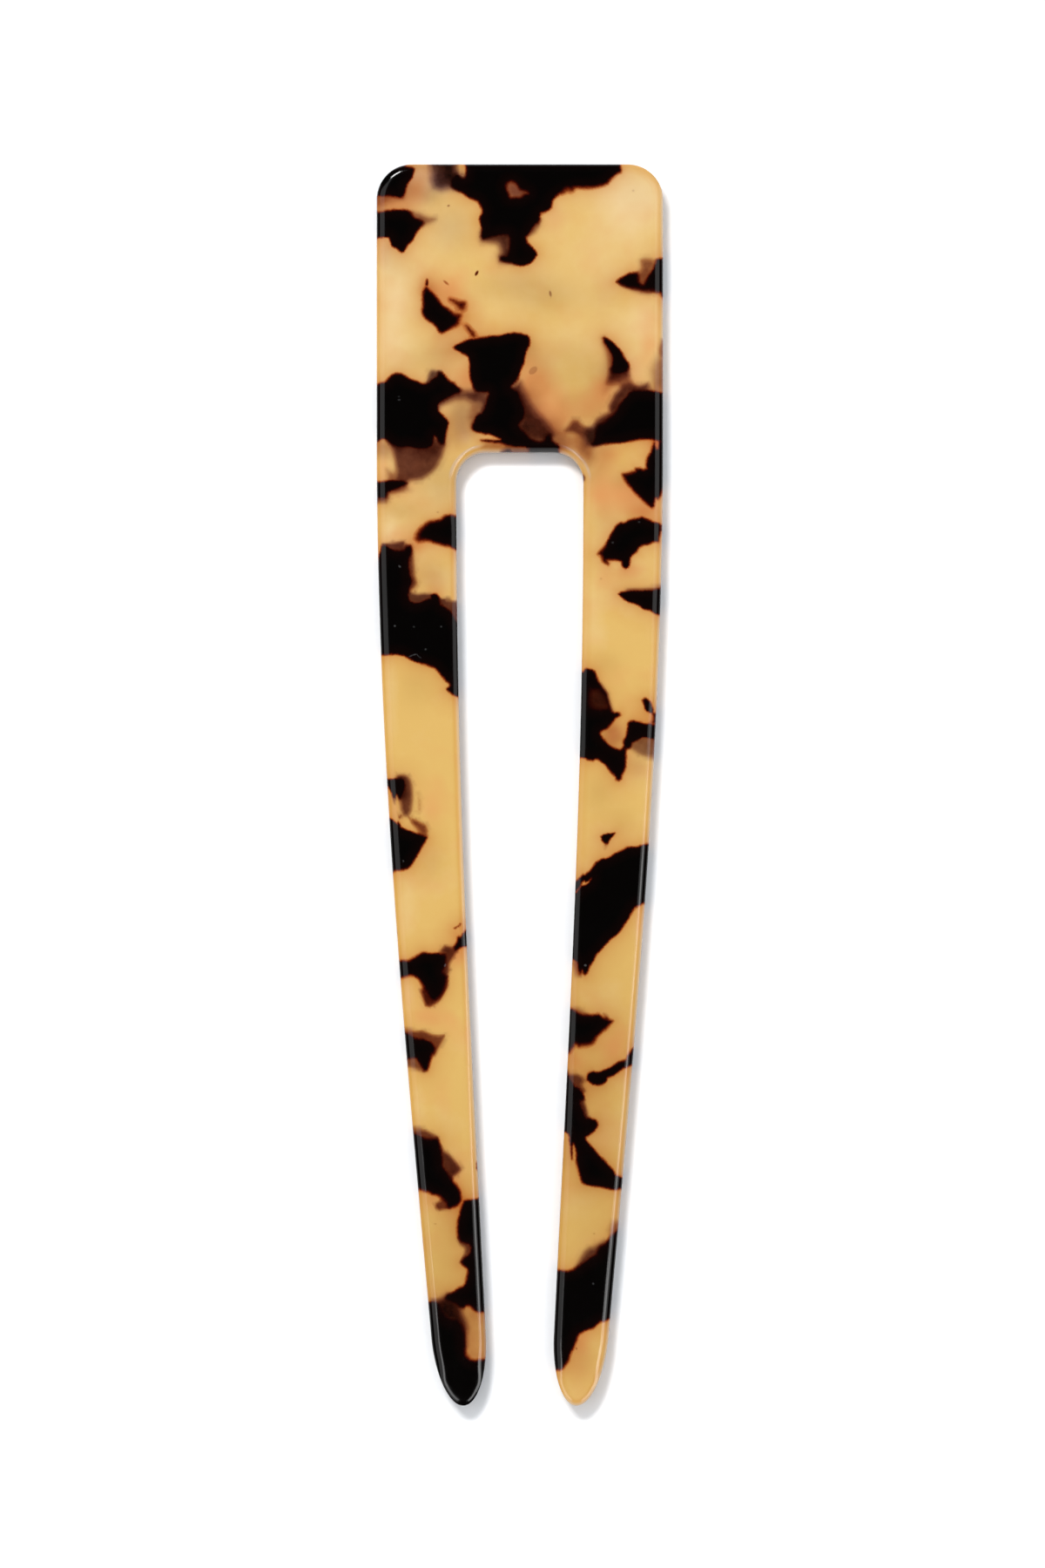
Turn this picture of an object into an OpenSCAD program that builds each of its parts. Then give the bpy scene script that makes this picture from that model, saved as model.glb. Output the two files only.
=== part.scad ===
// French hair pin: one flat piece of acetate sheet, a square crown and two prongs that lean together.
// It lies on its underside at z = 0, with the origin under the middle of its length and width.
// +Y points to the crown's end, and the outline below is worked out with the prong tips at y = 0.

/* [Crown] */
// Overall length, from the prong tips to the crown's end
length = 127; // [100:0.5:150]
// Width across the crown
crown_w = 29.3; // [26:0.1:36]
// Length of the solid crown, from its end down to the slot
crown_l = 29.5; // [12:0.1:40]
// Thickness of the sheet
sheet_t = 4; // [2.6:0.1:6]
// Radius of the crown's two corners, seen from above
corner_r = 3.6; // [1.6:0.1:10]

/* [Slot] */
// Width of the slot between the prongs, at its closed end
gap_w = 13; // [9:0.1:16]
// Radius of the slot's two corners, seen from above
slot_r = 3; // [0.6:0.1:4.2]

/* [Prongs] */
// Distance between the two tips
tip_spread = 11.6; // [9:0.1:16]
// Width that a prong narrows to, without the rounding of its tip
tip_w = 5.3; // [3.2:0.1:6.5]
// Length over which a tip is rounded off, as half an ellipse
tip_l = 7; // [4:0.1:15]
// Arc that the prongs lean inwards along, in degrees: the larger it is, the earlier they bend
lean_turn = 110; // [30:1:130]
// Power of the curve that the prongs narrow along: 1 narrows them evenly, a larger one narrows them late
taper_power = 1.45; // [1:0.05:2.5]

/* [Polished rim] */
// Reach of the rounding in from the edge, before the flat faces are skimmed
rim_w = 1.15; // [0.3:0.05:1.4]
// Height of the rounding on each face: much less than its reach, as tumbling rounds an edge low and wide
rim_h = 0.3; // [0.2:0.05:1.2]
// What the flat faces take off the rounding, so little that they run into it without a line
rim_skim = 0.004; // [0.003:0.001:0.02]

/* [Hidden] */

corner_steps = 8;   // facets round each corner of the crown
crown_rows = 4;     // rows down the crown's sides
slot_steps = 8;     // facets round each corner of the slot
side_rows = 22;     // rows down each prong, from the slot's corner to the rounded tip
tip_rows = 9;       // rows down the rounded tip
rim_steps = 6;      // facets round the rim, on each face

slot_y = length - crown_l;
corner_y = length - corner_r;
slot_corner_y = slot_y - slot_r;
root_centre = (crown_w + gap_w) / 4;
root_half = (crown_w - gap_w) / 4;
tip_centre = tip_spread / 2;
tip_half = tip_w / 2;

// Where a row lies along a prong: 0 at the slot's closed end, 1 at the tip
function prong_share(y) = max(0, (slot_y - y) / slot_y);

function lean(s) = (1 - cos(lean_turn * s)) / (1 - cos(lean_turn));
function centre_x(s) = root_centre + (tip_centre - root_centre) * lean(s);
function half_width(s) = root_half + (tip_half - root_half) * pow(s, taper_power);

// One row across the right-hand prong at height y, set in from the edges by inset and narrowed to
// a share of its width: [inner x, outer x, y]
function prong_row(y, inset, width_share = 1) =
    let (s = prong_share(y), half = (half_width(s) - inset) * width_share)
    [centre_x(s) - half, centre_x(s) + half, y];

// The row beside the slot's corner, at angle a round it: the inner edge draws back along the corner's arc
function slot_row(a, inset) =
    let (r = slot_r + inset, row = prong_row(slot_corner_y + r * sin(a), inset))
    [row[0] - r * (1 - cos(a)), row[1], row[2]];

// The row in the rounded tip, at angle a: 90 where the rounding starts, 0 at the very tip
function tip_row(a, inset) =
    prong_row(inset + (tip_l - inset) * (1 - cos(a)), inset, sin(a));

function prong_rows(inset) = [
    for (i = [0:slot_steps]) slot_row(90 * (1 - i / slot_steps), inset),
    for (i = [1:side_rows])
        prong_row(slot_corner_y + (tip_l - slot_corner_y) * i / side_rows, inset),
    for (i = [1:tip_rows]) tip_row(90 * (1 - i / tip_rows), inset)
];

// The crown's right-hand edge, from its end down to just above the slot
function crown_edge(inset) = [
    for (i = [0:corner_steps])
        let (a = 90 * (1 - i / corner_steps), r = corner_r - inset)
        [crown_w / 2 - corner_r + r * cos(a), corner_y + r * sin(a)],
    for (i = [1:crown_rows])
        [crown_w / 2 - inset, corner_y + (slot_y + rim_w - corner_y) * i / (crown_rows + 1)]
];

// Half the outline, clockwise seen from above: crown, outer edge, tip, inner edge, slot
function half_outline(inset) =
    let (rows = prong_rows(inset), last = len(rows) - 1)
    concat(
        crown_edge(inset),
        [for (i = [0:last]) [rows[i][1], rows[i][2]]],
        [for (i = [last - 1:-1:0]) [rows[i][0], rows[i][2]]]
    );

// The whole outline at one height: the half, then its mirror image back up
function outline_ring(inset, z) =
    let (half = half_outline(inset), last = len(half) - 1)
    concat(
        [for (p = half) [p[0], p[1], z]],
        [for (i = [last:-1:0]) [-half[i][0], half[i][1], z]]
    );

// Inset and height of each ring up the edge: round the lower rim, up the wall, round the upper rim
rim_top = sheet_t - rim_h + rim_skim;
rim_rings = concat(
    [for (i = [rim_steps:-1:0])
        let (a = 90 * i / rim_steps) [rim_w * (1 - cos(a)), rim_h - rim_skim - rim_h * sin(a)]],
    [for (i = [0:rim_steps])
        let (a = 90 * i / rim_steps) [rim_w * (1 - cos(a)), rim_top + rim_h * sin(a)]]
);

// Places in one ring: the crown's edge ends at crown_last, the right-hand tip is at tip_at,
// and the slot's two ends are at slot_right and slot_left
crown_last = corner_steps + crown_rows;
last_row = slot_steps + side_rows + tip_rows;
tip_at = crown_last + 1 + last_row;
slot_right = tip_at + last_row;
slot_left = slot_right + 1;
ring_size = 2 * slot_left;

function mirrored(i) = ring_size - 1 - i;

// One flat face of the blank as triangles, row by row, so that none spans the slot
function prong_strip(outer, inner) = concat(
    [for (i = [0:last_row - 2]) [outer(i), outer(i + 1), inner(i + 1)]],
    [for (i = [0:last_row - 1]) [outer(i), inner(i + 1), inner(i)]]
);

cap = concat(
    [for (i = [0:crown_last - 1]) [i, i + 1, mirrored(i + 1)]],
    [for (i = [0:crown_last - 1]) [i, mirrored(i + 1), mirrored(i)]],
    [
        [crown_last, crown_last + 1, slot_right],
        [crown_last, slot_right, slot_left],
        [crown_last, slot_left, mirrored(crown_last + 1)],
        [crown_last, mirrored(crown_last + 1), mirrored(crown_last)]
    ],
    prong_strip(function (i) crown_last + 1 + i, function (i) slot_right - i),
    prong_strip(function (i) mirrored(slot_right - i), function (i) mirrored(crown_last + 1 + i))
);

// The wall between each ring and the next, as triangles
wall = [
    for (k = [0:len(rim_rings) - 2], i = [0:ring_size - 1])
    let (
        low = k * ring_size,
        high = low + ring_size,
        next = (i + 1) % ring_size
    )
    each [
        [low + i, low + next, high + next],
        [low + i, high + next, high + i]
    ]
];

// The pin with its rounded edge, a little thicker than the sheet
module rounded_blank() {
    top = (len(rim_rings) - 1) * ring_size;
    polyhedron(
        points = [for (ring = rim_rings) each outline_ring(ring[0], ring[1])],
        faces = concat(
            [for (t = cap) [t[2], t[1], t[0]]],
            wall,
            [for (t = cap) [t[0] + top, t[1] + top, t[2] + top]]
        )
    );
}

// The sheet's two flat faces cut the blank to its thickness
module hair_pin() {
    color([0.86, 0.72, 0.47])
    translate([0, -length / 2, 0])
    intersection() {
        rounded_blank();
        translate([-crown_w, -tip_l, 0])
            cube([2 * crown_w, length + 2 * tip_l, sheet_t]);
    }
}

hair_pin();
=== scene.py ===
# %% [markdown]
# # A french hair pin in polished tortoiseshell acetate
# The pin is one flat piece: a square crown, a long slot and two prongs that lean together.
# It is cut from a sheet in which near-black flakes lie in a honey and cream ground, and then tumbled,
# which rounds its edges and leaves it glossy. It lies on a white table and is seen from straight above.
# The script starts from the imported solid, and the dressed pin keeps inside the solid's box.

# %% Load the solid and keep its box
import math
import bpy
import numpy as np
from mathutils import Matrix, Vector
from mathutils.geometry import delaunay_2d_cdt


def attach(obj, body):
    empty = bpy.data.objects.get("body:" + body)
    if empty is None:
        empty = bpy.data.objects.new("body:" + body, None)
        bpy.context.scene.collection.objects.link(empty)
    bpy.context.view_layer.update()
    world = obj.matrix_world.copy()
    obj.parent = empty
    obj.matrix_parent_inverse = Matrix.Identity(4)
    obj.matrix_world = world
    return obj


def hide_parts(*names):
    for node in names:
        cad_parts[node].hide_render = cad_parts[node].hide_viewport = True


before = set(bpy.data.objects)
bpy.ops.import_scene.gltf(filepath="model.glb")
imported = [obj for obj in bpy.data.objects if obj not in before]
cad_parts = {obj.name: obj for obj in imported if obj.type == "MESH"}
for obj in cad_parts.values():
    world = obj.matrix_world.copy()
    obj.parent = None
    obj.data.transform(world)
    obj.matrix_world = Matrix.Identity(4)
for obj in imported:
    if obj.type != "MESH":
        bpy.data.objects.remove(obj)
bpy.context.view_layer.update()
MM = 0.001

# %% [markdown]
# ## Camera
# The pin was seen from straight above through a long lens, so that its sides don't show.
# A lens that is long for its distance does the same here, and the frame is 160.4 mm tall at the pin.

# %% Camera
FRAME_HEIGHT = 160.4 * MM
PIN_TOP = 4 * MM
AIM_X, AIM_Y = 0.27 * MM, 0.1 * MM
CAMERA_DISTANCE = 1.15
SENSOR = 36.0
camera_data = bpy.data.cameras.new("camera")
camera_data.sensor_fit = "VERTICAL"
camera_data.sensor_height = SENSOR
camera_data.lens = SENSOR * CAMERA_DISTANCE / FRAME_HEIGHT
camera = bpy.data.objects.new("camera", camera_data)
camera.location = (AIM_X, AIM_Y, PIN_TOP + CAMERA_DISTANCE)
bpy.context.scene.collection.objects.link(camera)
bpy.context.scene.camera = camera
print("lens", round(camera_data.lens, 1), "mm")

# %% [markdown]
# ## The outline, as a maker would set it out
# A prong is a centre line that leans inwards and a half width that tapers. Any edge is then the centre
# line plus or minus the half width, and an edge that is set in by some amount is found the same way.
# The sizes repeat the solid's own, in millimetres, with the prong tips at y = 0.

# %% Sizes and the prong's centre line
LENGTH, CROWN_W, CROWN_L, SHEET_T = 127.0, 29.3, 29.5, 4.0
CORNER_R, SLOT_R, GAP_W = 3.6, 3.0, 13.0
TIP_SPREAD, TIP_W, TIP_L = 11.6, 5.3, 7.0
LEAN_TURN, TAPER_POWER = math.radians(110), 1.45

SLOT_Y = LENGTH - CROWN_L
CORNER_Y = LENGTH - CORNER_R
SLOT_CORNER_Y = SLOT_Y - SLOT_R
ROOT_CENTRE, ROOT_HALF = (CROWN_W + GAP_W) / 4, (CROWN_W - GAP_W) / 4


def centre_and_half(y):
    s = np.maximum(0.0, (SLOT_Y - y) / SLOT_Y)
    lean = (1 - np.cos(LEAN_TURN * s)) / (1 - np.cos(LEAN_TURN))
    return (ROOT_CENTRE + (TIP_SPREAD / 2 - ROOT_CENTRE) * lean,
            ROOT_HALF + (TIP_W / 2 - ROOT_HALF) * s ** TAPER_POWER)


print("prong at its root and tip:", centre_and_half(np.array([SLOT_Y, 0.0])))

# %% [markdown]
# ## Walking round the edge
# The edge is walked in eight short runs: half the crown's end, its corner, its side, the prong's outer
# edge, the tip, the inner edge, the slot's corner and half the slot's end. Each run is a formula of a
# share from 0 to 1 and of how far the line is set in, so one walk serves every ring of the rim.


# %% The runs of half the edge, clockwise from the middle of the crown's end
def run_end(t, inset):
    return t * (CROWN_W / 2 - CORNER_R), LENGTH - inset + 0 * t


def run_corner(t, inset):
    a, r = (1 - t) * math.pi / 2, CORNER_R - inset
    return CROWN_W / 2 - CORNER_R + r * np.cos(a), CORNER_Y + r * np.sin(a)


def run_side(t, inset):
    return CROWN_W / 2 - inset + 0 * t, CORNER_Y + (SLOT_Y - CORNER_Y) * t


def run_outer(t, inset):
    y = SLOT_Y + (TIP_L - SLOT_Y) * t
    centre, half = centre_and_half(y)
    return centre + half - inset, y


def run_tip(t, inset):
    # t runs from 0 on the outer edge, through 0.5 at the very tip, to 1 on the inner edge
    a = np.abs(1 - 2 * t) * math.pi / 2
    y = inset + (TIP_L - inset) * (1 - np.cos(a))
    centre, half = centre_and_half(y)
    return centre + np.sign(1 - 2 * t) * (half - inset) * np.sin(a), y


def run_inner(t, inset):
    y = TIP_L + (SLOT_CORNER_Y - TIP_L) * t
    centre, half = centre_and_half(y)
    return centre - half + inset, y


def run_slot_corner(t, inset):
    a, r = t * math.pi / 2, SLOT_R + inset
    y = SLOT_CORNER_Y + r * np.sin(a)
    centre, half = centre_and_half(y)
    return centre - half + inset - r * (1 - np.cos(a)), y


def run_slot_end(t, inset):
    return (1 - t) * (GAP_W / 2 - SLOT_R), SLOT_Y + inset + 0 * t


RUNS = [run_end, run_corner, run_side, run_outer, run_tip, run_inner, run_slot_corner, run_slot_end]
END, CORNER, SIDE, OUTER, TIP, INNER, SLOT_CORNER, SLOT_END = range(len(RUNS))
print("runs:", len(RUNS))


# %% Points and stations of half the edge
def edge_points(stations, inset):
    """Points of the half edge at stations (run number, share), in the part's own frame, in mm."""
    run, share = stations
    x, y = np.zeros(len(run)), np.zeros(len(run))
    for k, formula in enumerate(RUNS):
        here = run == k
        x[here], y[here] = formula(share[here], inset)
    return np.stack([x, y - LENGTH / 2], axis=1)


def walk(step):
    """Stations about step apart along the half edge, from the crown's end to the slot's end."""
    run, share = [], []
    for k, formula in enumerate(RUNS):
        t = np.linspace(0, 1, 400)
        x, y = formula(t, 0.0)
        along = np.concatenate([[0], np.cumsum(np.hypot(np.diff(x), np.diff(y)))])
        n = max(2, math.ceil(along[-1] / step))
        stops = np.interp(np.arange(n) * along[-1] / n, along, t)
        run += [k] * n
        share += list(stops)
    return np.array(run + [SLOT_END]), np.array(share + [1.0])


FINE_STEP = 0.11
fine_walk = walk(FINE_STEP)
print("fine stations on half the edge:", len(fine_walk[0]))

# %% [markdown]
# ## The chart of the flakes
# The dark figure of such a sheet comes from chips of dark acetate that are pressed between pale ones.
# A noise texture would be quick, but it never gives these leaf and arrow shapes. So each flake is
# charted as a short outline, in millimetres from the middle of the pin, as one would trace it
# on a sheet of squared paper. Each row also says how wide the fringe is, over which the colour deepens
# from red-brown to black, how far the flake leans sideways for each millimetre that it goes down, and
# at which depth its foot lies.

# %% Flakes of the crown
FLAKES = []


def flake(name, points, fringe=0.18, lean=(0.0, 0.0), foot=9.0):
    FLAKES.append((name, points, fringe, lean, foot))


flake("crown_corner", [
    (-15.2, 60.27), (-13.5, 60.27), (-12.9, 60.18), (-12.3, 60.08), (-12.05, 60.1), (-11.88, 60.3),
    (-11.75, 60.55), (-11.68, 60.95), (-11.48, 61.45), (-11.2, 61.9), (-11.0, 62.2), (-10.87, 62.6),
    (-10.78, 63.03), (-10.95, 63.15), (-11.35, 63.2), (-11.8, 63.35), (-12.2, 63.8), (-15.2, 64)],
    lean=(0.1, -0.25))
flake("crown_top", [
    (-5.6, 64), (-5.52, 63.2), (-5.5, 62.6), (-5.62, 62.12), (-5.9, 62.0), (-6.2, 62.12), (-6.45, 62.4),
    (-6.95, 61.75), (-6.95, 61.3), (-6.68, 60.98), (-6.35, 60.76), (-5.95, 60.58), (-5.55, 60.27),
    (-5.2, 60.05), (-4.75, 59.88), (-4.35, 59.72), (-4.08, 59.3), (-3.85, 58.8), (-3.85, 58.5),
    (-4.05, 58.2), (-4.13, 57.85), (-4.02, 57.4), (-3.9, 57.0), (-3.83, 56.55), (-3.9, 56.15),
    (-3.75, 55.92), (-3.2, 56.08), (-2.5, 56.22), (-1.7, 56.35), (-1.15, 56.3), (-1.0, 56.0),
    (-1.02, 55.2), (-1.08, 54.5), (-1.3, 54.1), (-1.9, 53.95), (-1.95, 53.75), (-1.5, 53.58),
    (-0.85, 53.45), (-0.45, 53.22), (0.0, 53.08), (0.5, 53.15), (1.0, 53.35), (1.38, 53.6),
    (1.55, 53.9), (1.75, 54.25), (1.62, 54.62), (1.3, 54.98), (1.0, 55.2), (0.8, 55.48), (0.68, 55.82),
    (0.6, 56.05), (0.88, 56.4), (1.2, 56.85), (1.52, 57.28), (1.85, 57.52), (2.05, 57.8), (2.07, 58.2),
    (2.2, 58.5), (2.6, 58.62), (3.0, 58.88), (3.25, 59.1), (3.32, 59.5), (3.42, 59.82), (3.66, 60.15),
    (4.0, 60.4), (4.4, 60.52), (4.68, 60.76), (4.95, 60.85), (5.2, 60.75), (5.45, 60.82),
    (5.62, 61.05), (6.0, 61.1), (7.0, 61.06), (7.5, 61.12), (8.0, 61.2), (8.5, 61.33), (8.95, 61.52),
    (9.2, 61.82), (9.5, 62.1), (9.8, 62.38), (10.1, 62.58), (10.33, 62.66), (10.4, 62.95),
    (10.28, 63.3), (10.15, 64)],
    lean=(-0.12, 0.1))
flake("crown_left", [
    (-15.2, 58.6), (-14.0, 58.62), (-13.6, 58.74), (-13.0, 58.83), (-12.2, 58.86), (-11.5, 58.8),
    (-11.2, 58.62), (-11.0, 58.35), (-10.8, 58.08), (-10.45, 57.88), (-10.1, 57.75), (-9.9, 57.62),
    (-9.85, 57.45), (-10.05, 57.2), (-10.35, 56.8), (-10.6, 56.45), (-10.8, 56.05), (-10.95, 55.72),
    (-11.2, 55.45), (-11.5, 55.2), (-11.7, 54.85), (-11.85, 54.57), (-12.1, 54.46), (-12.35, 54.6),
    (-12.6, 54.88), (-12.95, 55.05), (-13.15, 55.2), (-13.25, 55.55), (-13.4, 55.95), (-13.6, 56.02),
    (-15.2, 55.98)],
    lean=(0.15, 0.2))
flake("island_spike", [
    (-9.6, 51.08), (-9.6, 51.5), (-9.52, 51.78), (-9.4, 51.72), (-9.38, 51.45), (-9.46, 51.05)],
    fringe=0.14, foot=1.5)
flake("island", [
    (-9.6, 50.98), (-9.84, 50.6), (-9.95, 50.2), (-9.95, 49.8), (-9.9, 49.3), (-9.94, 48.9),
    (-10.04, 48.6), (-10.0, 48.25), (-9.84, 47.92), (-9.6, 47.64), (-9.3, 47.42), (-9.0, 47.25),
    (-8.75, 47.02), (-8.5, 46.8), (-8.35, 46.52), (-8.2, 46.32), (-8.0, 46.22), (-7.72, 46.32),
    (-7.4, 46.5), (-7.1, 46.7), (-6.8, 46.85), (-6.5, 46.97), (-6.28, 47.2), (-6.18, 47.6),
    (-6.05, 48.1), (-6.35, 48.14), (-6.65, 48.22), (-6.9, 48.36), (-7.2, 48.56), (-7.6, 48.85),
    (-7.9, 49.06), (-8.15, 49.4), (-8.45, 49.8), (-8.8, 50.2), (-9.15, 50.55), (-9.42, 50.8)],
    fringe=0.22, lean=(0.25, 0.1), foot=3.2)
flake("island_sliver", [
    (-7.12, 49.66), (-6.7, 49.58), (-6.2, 49.44), (-5.62, 49.36), (-5.6, 49.15), (-5.7, 48.82),
    (-5.86, 48.66), (-6.1, 48.76), (-6.4, 49.05), (-6.72, 49.36)],
    fringe=0.42, foot=1.0)
flake("island_dash", [
    (-5.48, 46.96), (-5.3, 46.86), (-5.0, 46.52), (-4.68, 46.2), (-4.58, 45.96), (-4.75, 45.84),
    (-4.95, 46.0), (-5.2, 46.42)],
    fringe=0.3, foot=0.9)
flake("heart_upper", [
    (-6.82, 44.75), (-6.6, 44.98), (-6.2, 45.12), (-5.9, 45.28), (-5.5, 45.5), (-5.0, 45.62),
    (-4.2, 45.72), (-3.5, 45.84), (-3.0, 45.92), (-2.3, 45.94), (-1.8, 46.05), (-1.2, 46.17),
    (-0.6, 46.26), (0.0, 46.2), (0.35, 46.1), (0.7, 46.04), (0.92, 45.82), (1.05, 45.5), (1.05, 45.2),
    (0.95, 44.92), (0.76, 44.6), (0.6, 44.2), (0.52, 43.6), (0.45, 43.2), (0.25, 42.8), (0.05, 42.4),
    (-0.02, 42.0), (-0.2, 41.6), (-0.5, 41.25), (-0.9, 40.9), (-0.95, 40.6), (-0.7, 40.45),
    (-0.28, 40.2), (-0.1, 39.85), (0.0, 39.4), (0.2, 38.95), (0.4, 38.5), (0.42, 38.0), (0.28, 37.55),
    (0.0, 37.15), (-0.18, 36.75), (0.05, 36.35), (0.35, 36.12), (0.62, 35.88), (0.9, 35.5),
    (1.2, 35.28), (1.6, 35.12), (2.05, 35.02), (2.4, 35.08), (2.58, 35.25), (2.66, 35.55),
    (2.85, 35.75), (3.05, 35.78), (3.12, 35.45), (3.22, 35.12), (3.5, 34.95), (3.8, 34.8),
    (4.02, 34.6), (3.95, 34.3), (3.95, 33.8), (1.0, 33.8), (0.95, 34.3), (0.6, 34.56), (0.0, 34.6),
    (-0.5, 34.62), (-0.8, 34.68), (-1.3, 34.72), (-1.5, 34.82), (-2.05, 35.0), (-2.6, 35.05),
    (-3.2, 35.12), (-3.9, 35.2), (-4.0, 35.26), (-3.4, 35.27), (-2.6, 35.24), (-2.0, 35.28),
    (-1.95, 35.35), (-2.3, 35.5), (-2.6, 35.62), (-2.9, 35.8), (-3.2, 35.9), (-3.6, 35.92),
    (-4.0, 36.04), (-4.4, 36.1), (-4.75, 36.25), (-4.92, 36.45), (-4.85, 36.8), (-4.66, 37.2),
    (-4.52, 37.6), (-4.3, 37.86), (-3.9, 37.96), (-3.74, 38.25), (-3.55, 38.6), (-3.42, 39.2),
    (-3.3, 39.6), (-3.15, 40.0), (-3.3, 40.22), (-4.2, 40.25), (-4.5, 40.35), (-4.72, 40.6),
    (-4.88, 41.0), (-5.0, 41.4), (-5.07, 41.7), (-5.14, 42.3), (-5.15, 43.0), (-5.2, 43.5),
    (-5.3, 43.8), (-5.52, 43.96), (-5.9, 44.1), (-6.2, 44.3), (-6.6, 44.55)],
    lean=(0.2, -0.15))
flake("left_shoulder", [
    (-15.2, 40.8), (-14.65, 40.85), (-14.45, 41.08), (-14.2, 41.2), (-13.9, 41.2), (-13.7, 41.32),
    (-13.4, 41.65), (-13.1, 41.95), (-12.7, 42.1), (-12.2, 42.1), (-11.9, 41.96), (-11.6, 41.75),
    (-11.2, 41.54), (-10.7, 41.35), (-10.3, 41.2), (-10.0, 41.1), (-9.6, 41.06), (-9.3, 41.2),
    (-9.05, 41.42), (-8.7, 41.6), (-8.45, 41.8), (-8.32, 42.2), (-8.0, 42.2), (-7.7, 41.92),
    (-7.4, 41.52), (-7.15, 41.26), (-6.9, 41.2), (-6.7, 41.1), (-6.48, 40.8), (-6.2, 40.56),
    (-6.06, 40.35), (-6.25, 40.12), (-6.7, 39.96), (-7.0, 39.85), (-7.4, 39.62), (-7.8, 39.35),
    (-8.2, 39.12), (-8.4, 38.88), (-8.42, 38.5), (-8.3, 38.2), (-8.05, 37.95), (-7.8, 37.72),
    (-7.5, 37.45), (-7.35, 37.2), (-7.32, 36.95), (-7.4, 36.6), (-7.5, 36.2), (-7.6, 35.7),
    (-7.74, 35.2), (-7.86, 34.9), (-8.1, 34.9), (-8.32, 35.15), (-8.5, 35.55), (-8.72, 35.7),
    (-8.9, 35.2), (-9.05, 34.72), (-9.5, 34.5), (-10.0, 34.45), (-10.5, 34.45), (-10.9, 34.5),
    (-11.1, 34.6), (-11.5, 34.66), (-12.0, 34.6), (-12.5, 34.62), (-12.9, 34.8), (-13.2, 35.0),
    (-13.5, 35.2), (-13.8, 35.42), (-14.1, 35.45), (-14.5, 35.2), (-15.2, 35.1)],
    lean=(0.1, 0.25))
flake("right_upper", [
    (9.85, 51.45), (10.1, 51.7), (10.45, 51.92), (10.85, 52.15), (11.2, 52.33), (11.6, 52.4),
    (12.0, 52.38), (12.13, 52.15), (12.13, 51.75), (12.2, 51.45), (12.45, 51.15), (12.7, 51.15),
    (12.88, 51.5), (13.1, 51.95), (13.35, 52.35), (13.6, 52.7), (13.82, 53.1), (13.92, 53.5),
    (14.05, 53.78), (14.3, 53.86), (15.2, 53.9), (15.2, 49.4), (14.74, 49.7), (14.58, 50.05),
    (14.38, 50.33), (14.1, 50.45), (13.7, 50.6), (13.1, 50.65), (12.6, 50.65), (12.0, 50.8),
    (11.4, 50.9), (10.9, 51.0), (10.4, 51.2)],
    lean=(-0.15, 0.2))
flake("right_arrow", [
    (8.55, 45.72), (8.7, 45.8), (8.9, 45.66), (9.2, 45.5), (9.5, 45.3), (9.8, 45.05), (10.0, 44.8),
    (10.3, 44.4), (10.52, 44.1), (10.7, 43.72), (10.88, 43.45), (11.1, 43.25), (11.2, 42.95),
    (11.12, 42.62), (10.9, 42.4), (10.6, 42.22), (10.2, 42.12), (9.8, 42.1), (9.5, 42.2),
    (9.45, 42.5), (9.5, 43.0), (9.5, 43.5), (9.4, 44.0), (9.2, 44.4), (9.02, 44.7), (8.86, 45.0),
    (8.66, 45.3)],
    lean=(0.2, 0.3), foot=3.0)
flake("right_shoulder", [
    (15.2, 40.1), (14.65, 40.1), (14.3, 40.12), (14.0, 40.25), (13.5, 40.3), (13.1, 40.3),
    (12.6, 40.35), (12.2, 40.3), (11.6, 40.28), (11.2, 40.05), (10.95, 39.75), (10.5, 39.3),
    (10.2, 38.82), (9.98, 38.4), (9.7, 38.05), (9.3, 37.7), (8.9, 37.32), (8.5, 37.0), (8.1, 36.7),
    (7.9, 36.4), (7.8, 36.0), (7.78, 35.5), (7.62, 35.12), (7.42, 34.9), (7.7, 34.82), (8.5, 34.85),
    (9.2, 34.9), (10.0, 34.96), (10.7, 35.02), (11.2, 35.12), (11.7, 35.26), (12.3, 35.36),
    (13.0, 35.4), (13.5, 35.34), (13.8, 35.2), (14.25, 35.1), (15.2, 35.1)],
    lean=(-0.2, -0.1))
print("flakes on the crown:", len(FLAKES))

# %% Flakes of the left prong
flake("left_bar", [
    (-15.2, 31.0), (-14.3, 31.0), (-13.6, 31.08), (-13.0, 31.15), (-12.5, 31.08), (-11.9, 31.02),
    (-11.68, 30.88), (-11.95, 30.65), (-12.3, 30.45), (-12.7, 30.28), (-13.2, 30.1), (-13.55, 30.0),
    (-13.65, 29.7), (-13.75, 29.42), (-14.1, 29.38), (-15.2, 29.4)],
    lean=(0.1, -0.3))
flake("left_leaf", [
    (-10.62, 25.25), (-10.52, 25.7), (-10.3, 26.05), (-10.0, 26.35), (-9.7, 26.6), (-9.4, 26.85),
    (-9.1, 27.0), (-8.7, 27.05), (-8.3, 27.1), (-8.0, 27.2), (-7.8, 27.4), (-7.6, 27.55),
    (-7.2, 27.62), (-6.8, 27.56), (-6.5, 27.46), (-6.0, 27.4), (-6.0, 23.95), (-6.5, 24.05),
    (-6.75, 24.2), (-7.1, 24.38), (-7.5, 24.45), (-8.0, 24.6), (-8.4, 24.7), (-8.8, 24.8),
    (-9.2, 24.95), (-9.6, 25.0), (-10.0, 24.98), (-10.35, 24.92)],
    fringe=0.27, lean=(0.2, 0.15))
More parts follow.
